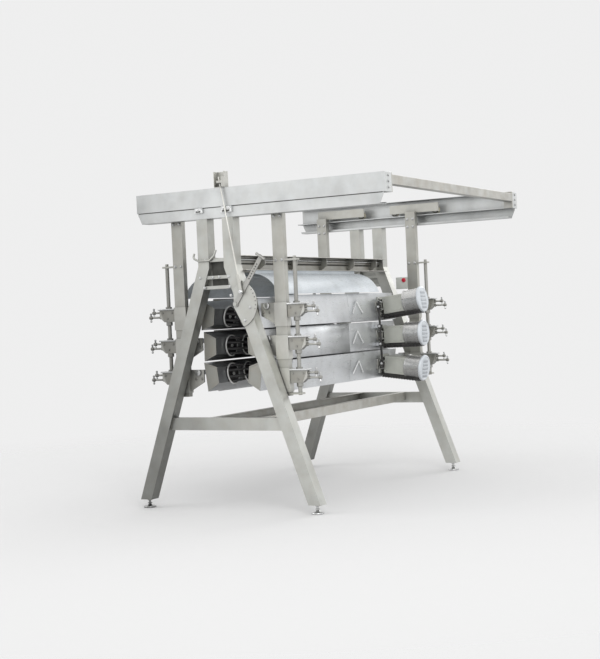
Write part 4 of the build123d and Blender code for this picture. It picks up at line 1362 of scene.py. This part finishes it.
    def brace(self) -> Piece:
        """The dark sleeve of the brace rod with its bolted lugs, about the middle of its bank."""
        shop, (x, y) = self.shop, self.brace_place
        pieces = [shop.turned("sleeve", self.brace_sleeve, DARK_IRON, (x, y, 0.0), None, 16)]
        for z in self.lug_heights:
            low, high = (Vector((x, y, z)) + Vector(corner) for corner in (self.lug_low, self.lug_high))
            pieces.append(shop.slab("lug", low, high, DARK_IRON, 0.003))
            spots = [((x, y + way * self.lug_high[1], z), (0, way, 0)) for way in WAYS]
            pieces += [shop.bolt(BRIGHT_STEEL, *spot, *self.lug_bolt_size) for spot in spots]
        return joined(pieces)

    def build(self) -> None:
        """Sets the trim on each bank, and the brace's sleeve on the right middle one."""
        names, spots = zip(*self.shop.layout.banks())
        for piece, name in zip(self.shop.copies(self.pattern(), spots), names):
            self.shop.fit(piece, f"{name}_bank_trim", f"{name}_bank", "casing_steel")
        brace = moved(self.brace(), self.shop.layout.bank_frame(Side.RIGHT, 1))
        self.shop.fit(brace, "brace_sleeve", "right_middle_bank", "casing_steel")


# ---------------------------------------------------------------- frame fittings
@dataclass
class FrameFittings:
    """Bolts, rail clips, saddle plates and weld beads on the fixed frame."""

    shop: Workshop
    face: float = 1.385
    crossbar_bolts: tuple[Pair, ...] = (
        (-0.150, 1.985), (-0.100, 1.985), (-0.155, 1.850), (0.110, 1.850), (-0.118, 1.770), (0.118, 1.770))
    inner_bolts: tuple[Pair, ...] = ((-0.040, 1.850), (0.020, 1.850))
    saddle_bolts: tuple[Pair, ...] = ((-0.136, 2.382), (0.098, 2.378), (0.148, 2.378))
    quadrant_bolts: tuple[Pair, ...] = ((0.130, 1.700), (0.300, 1.600), (0.250, 1.500))
    row_insets: tuple[float, ...] = (0.0, 0.005, -0.014, -0.010)     # of the four rows above
    tie_bolts: Point = (2.435, 2.480, 2.525)
    tie_face: float = 1.502
    tie_inset: float = 0.049
    bolt_size: Pair = (0.009, 0.006)
    pipes: tuple[tuple[float, float, float, Finish], ...] = (
        (0.131, 1.984, 0.0095, BRIGHT_STEEL), (0.127, 1.952, 0.006, SHADE_BLACK))
    rail_rise: Pair = (1.901, 2.007)
    rail_reach: float = 1.284
    clip_places: tuple[float, ...] = (-0.95, -0.42, 0.11, 0.64, 1.10)
    clip_run: Pair = (0.119, 0.124)
    clip_half: float = 0.014
    rib_run: Pair = (0.1235, 0.190)
    rib_half: float = 0.003
    rib_taper: Point = (1.0, 1.0, 0.6)
    clip_bolt: Pair = (0.170, 0.022)
    # Near-black panels between the uprights: painted shade in the gaps there.
    panels: tuple[Pair, ...] = ((1.784, 1.836), (1.864, 1.971))
    panel_half: float = 0.0695
    panel_run: Pair = (0.046, 0.050)
    # The near-black strip under the beam's proud lip: a painted shadow line.
    seam_run: Pair = (-0.725, 1.475)
    seam_rise: Pair = (2.3965, 2.4015)
    seam_depth: Pair = (0.0012, 0.001)       # before and behind the beam's face
    saddles: tuple[tuple[Pair, Pair], ...] = (
        ((-0.172, -0.099), (2.363, 2.401)), ((0.074, 0.172), (2.354, 2.401)))
    saddle_run: Pair = (0.0165, 0.0138)
    saddle_taper: Point = (0.55, 1.0, 1.0)
    saddle_margin: float = 0.004
    # A near-black strip at each saddle plate's foot: painted shade.
    tab_run: Pair = (0.019, 0.016)
    tab_rise: Pair = (0.004, 0.016)
    tab_margins: Pair = (0.012, 0.018)
    foot_line: float = 1.335
    foot_spread: float = 0.785
    leg_slope: float = 0.357
    leg_base: float = 0.070
    leg_half: float = 0.05
    cross_height: float = 0.688
    bead_steps: int = 26
    bead_half: float = 0.054
    bead_radii: Pair = (0.0034, 0.0042)
    bead_face: float = 0.025

    def bolts(self) -> list[Piece]:
        """Hexagon bolts on the crossbars, saddles, quadrant and beam ends."""
        front = -self.face
        rows = (self.crossbar_bolts, self.inner_bolts, self.saddle_bolts, self.quadrant_bolts)
        spots = [stood((x, front + inset, z), FRONT) for inset, row in zip(self.row_insets, rows)
                 for x, z in row]
        spots += [stood((self.tie_face, way * (self.face - self.tie_inset), z), ACROSS)
                  for way in WAYS for z in self.tie_bolts]
        return self.shop.copies(self.shop.bolt(BRIGHT_STEEL, MIDDLE, None, *self.bolt_size), spots)

    def clips(self) -> list[Piece]:
        """Pipes and flat clips with ribs and bolts inside the open side of each high rail."""
        shop, (low, high), reach = self.shop, self.rail_rise, self.rail_reach
        pieces = []
        for way in WAYS:
            row = [shop.turned("pipe", [(-reach, radius), (reach, radius)], kind, (x, 0.0, z), ALONG, 12)
                   for x, z, radius, kind in self.pipes]
            for y in self.clip_places:
                (start, end), half = self.clip_run, self.clip_half
                row.append(shop.slab("clip", (start, y - half, low), (end, y + half, high),
                                     CLAMP_STEEL, 0.001))
                (start, end), half = self.rib_run, self.rib_half
                rib = Workpiece.block("rib", (start, y - half, low), (end, y + half, high))
                rib.facing(ACROSS).scale(self.rib_taper, (end, y, high))
                row.append(rib.done(shop.finish(CLAMP_STEEL)))
                x, inset = self.clip_bolt
                row.append(shop.bolt(BRIGHT_STEEL, (x, y + inset, high), DOWN))
            side = Matrix.Diagonal((way, 1.0, 1.0, 1.0))
            pieces += [moved(piece, side) for piece in row]
        return pieces

    def head_trim(self) -> list[Piece]:
        """The near-black panels between the uprights and the strip under the beam's proud lip, both painted
        shade, and the bright saddle plates, each with a near-black strip of painted shade at its foot.
        """
        shop, front, half = self.shop, -self.face, self.panel_half
        pieces = []
        for end in WAYS:
            near, far = sorted(end * (self.face - inset) for inset in self.panel_run)
            for low, high in self.panels:
                # Painted shade in the gap between the uprights.
                panel = Workpiece.block("panel", (-half, near, low), (half, far, high))
                pieces.append(panel.done(shop.finish(SHADE_BLACK)))
        # A near-black strip under the beam's proud lip: painted shadow.
        (start, end), (low, high), (near, far) = self.seam_run, self.seam_rise, self.seam_depth
        seam = Workpiece.block("seam", (start, front - near, low), (end, front + far, high))
        pieces.append(seam.done(shop.finish(SHADE_BLACK)))
        for (left, right), (low, high) in self.saddles:
            (near, far), margin = self.saddle_run, self.saddle_margin
            plate = Workpiece.block("saddle", (left - margin, front - near, low),
                                    (right + margin, front - far, high))
            plate.facing(UP).scale(self.saddle_taper, ((left + right) / 2, front, high))
            pieces.append(plate.soften(0.0008, 1).done(shop.finish(HEM_STEEL)))
            # A near-black strip at the saddle's foot: painted shade.
            (near, far), (foot, top), (inner, outer) = self.tab_run, self.tab_rise, self.tab_margins
            pieces.append(shop.slab("tab", (left + inner, front - near, low + foot),
                                    (right - outer, front - far, low + top), SHADE_BLACK, 0.001, 1))
        return pieces

    def beads(self) -> list[Piece]:
        """Weld beads where the low cross tubes meet the legs."""
        slope, height = self.leg_slope, self.cross_height
        lean = math.atan(slope)
        reach = self.foot_spread - slope * (height - self.leg_base) - self.leg_half * math.sqrt(1 + slope**2)
        step = 2 * self.bead_half / self.bead_steps
        profile = [(-self.bead_half + number * step, self.bead_radii[number % 2])
                   for number in range(self.bead_steps + 1)]
        bead = self.shop.turned("bead", profile, WELD_STEEL, sides=8, angle=60.0)
        spots = [stood((way * reach, end * self.foot_line + side * self.bead_face, height),
                       (-way * math.sin(lean), 0.0, math.cos(lean)))
                 for end in WAYS for way in WAYS for side in WAYS]
        return self.shop.copies(bead, spots)

    def build(self) -> None:
        """Sets the fittings on the frame."""
        fittings = joined([*self.bolts(), *self.head_trim(), *self.clips(), *self.beads()])
        self.shop.fit(moved(fittings, self.shop.layout.frame()), "frame_fittings", "frame", "frame_steel")


@dataclass
class LeverFittings:
    """The lever's pin nut, the rims of its holes, near-black as painted shade in them, and its round grip
    ends.
    """

    shop: Workshop
    pivot: Point = (0.172, 0.0, 1.631)
    lean: float = 35.0
    length: float = 0.447
    face: float = 1.4033
    pin_reach: float = 0.112
    pin_rise: float = 0.0195
    pin_size: Pair = (0.0135, 0.010)
    grip_half: float = 0.038
    grip_radius: float = 0.010
    grip_sunk: float = 0.002
    grip_end: Profile = ((-0.004, 0.0102), (0.003, 0.0116), (0.007, 0.0108), (0.010, 0.006))
    bush: Profile = ((-0.003, 0.0056), (0.0006, 0.0056), (0.0008, 0.0050))
    bush_count: int = 7
    bush_start: float = 0.080
    bush_pitch: float = 0.022

    def build(self) -> None:
        """Sets the grip's ends, the hole rims and the pin's nut on the lever."""
        shop, y = self.shop, -self.face
        grip = (y - self.grip_radius + self.grip_sunk, self.length - self.grip_radius)
        spots = [((way * self.grip_half, *grip), (way, 0, 0)) for way in WAYS]
        pieces = [shop.turned("grip_end", self.grip_end, LEVER_STEEL, *spot, 20) for spot in spots]
        for number in range(self.bush_count):
            # Near-black rims: painted shade inside the lever's holes.
            place = (0.0, y, self.length - self.bush_start - number * self.bush_pitch)
            pieces.append(shop.turned("bush", self.bush, SHADE_BLACK, place, FRONT, 16))
        pin = (0.0, y - self.pin_rise, self.pin_reach)
        pieces.append(shop.bolt(BRIGHT_STEEL, pin, FRONT, *self.pin_size))
        turn = Matrix.Rotation(math.radians(self.lean), 4, "Y")
        place = shop.layout.frame() @ stood(self.pivot) @ turn
        shop.fit(moved(joined(pieces), place), "lever_fittings", "lever", "lever_steel")


@dataclass
class StopStation:
    """The stop box's lid, screws and gland, and the domed red button."""

    shop: Workshop
    box_run: Pair = (0.310, 0.422)
    box_rise: Pair = (1.720, 1.830)
    face: float = 1.200
    lid_margin: float = 0.003
    lid_depth: float = 0.0045
    screw: Profile = ((0.0, 0.0042), (0.0012, 0.0042), (0.0022, 0.003))
    screw_inset: float = 0.012
    screw_depth: float = 0.0044
    gland: Profile = ((0.0, 0.012), (0.010, 0.012), (0.013, 0.008), (0.020, 0.0075))
    gland_place: Pair = (0.417, 1.260)
    button_place: Point = (0.395, 1.2062, 1.802)
    button: Profile = (
        (0.0, 0.0075), (0.0122, 0.0075), (0.0124, 0.016), (0.0145, 0.0205), (0.0185, 0.021),
        (0.0215, 0.0190), (0.0236, 0.0145), (0.0246, 0.0080), (0.0249, 0.0030))

    def build(self) -> None:
        """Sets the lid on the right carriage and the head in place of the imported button."""
        shop, place = self.shop, self.shop.layout.lane_frame()
        (x0, x1), (z0, z1), gap = self.box_run, self.box_rise, self.lid_margin
        pieces = [shop.slab("lid", (x0 + gap, self.face - self.lid_depth, z0 + gap),
                            (x1 - gap, self.face, z1 - gap), BOX_PLASTIC, 0.0018)]
        inset, y = self.screw_inset, self.face - self.screw_depth
        spots = [(x, y, z) for x in (x0 + inset, x1 - inset) for z in (z0 + inset, z1 - inset)]
        pieces += [shop.turned("screw", self.screw, BRIGHT_STEEL, spot, FRONT, 12) for spot in spots]
        pieces.append(shop.turned("gland", self.gland, BOX_PLASTIC, (*self.gland_place, z1), None, 16))
        shop.fit(moved(joined(pieces), place), "stop_box_lid", "right_carriage", "box_plastic")
        head = shop.turned("mushroom", self.button, BUTTON_RED, self.button_place, FRONT, 32, 60.0)
        shop.fit(moved(head, place), "stop_button_head", "button", "button_red", "stop_button")


def dress_nodes(shop: Workshop) -> None:
    """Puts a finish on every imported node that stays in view."""
    shop.dress(["near_a_frame", "far_a_frame"], FRAME_STEEL)
    shop.dress(["near_beam", "far_beam"], BEAM_STEEL)
    shop.dress(["lower_rails", "top_rails", "tie_tube"], RAIL_STEEL)
    shop.dress(["splash_hoods"], SHEET_STEEL, edge=0.0)
    shop.dress([f"{bank}_housing" for bank, _ in shop.layout.banks()], COVER_STEEL)
    shop.dress(["left_posts", "right_posts"], POST_STEEL)
    shop.dress(["left_clamps", "right_clamps", "cable_bracket"], CLAMP_STEEL)
    shop.dress(["adjusting_lever"], LEVER_STEEL, edge=0.001)
    shop.dress(["lever_rod"], CLAMP_STEEL, edge=0.001)
    shop.dress(["stop_box"], BOX_PLASTIC)


def main() -> None:
    """Loads the frame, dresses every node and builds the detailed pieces."""
    logging.basicConfig(level=logging.INFO, format="%(message)s")
    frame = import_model()
    low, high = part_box("levelling_feet")
    foot_centre = Vector(((low[0] + high[0]) / 2, (low[1] + high[1]) / 2, 0.0))
    Stage(foot_centre).build()
    shop = Workshop(Layout(foot_centre), frame["nodes"])
    dress_nodes(shop)
    for assembly in (FingerDiscs, BankMotors, BankTrim, ClampFittings, PostFittings, LevellingFeet,
                     FrameFittings, LeverFittings, StopStation):
        assembly(shop).build()
    LOG.info("fitted %d detailed pieces", shop.count)


if __name__ == "__main__":
    main()
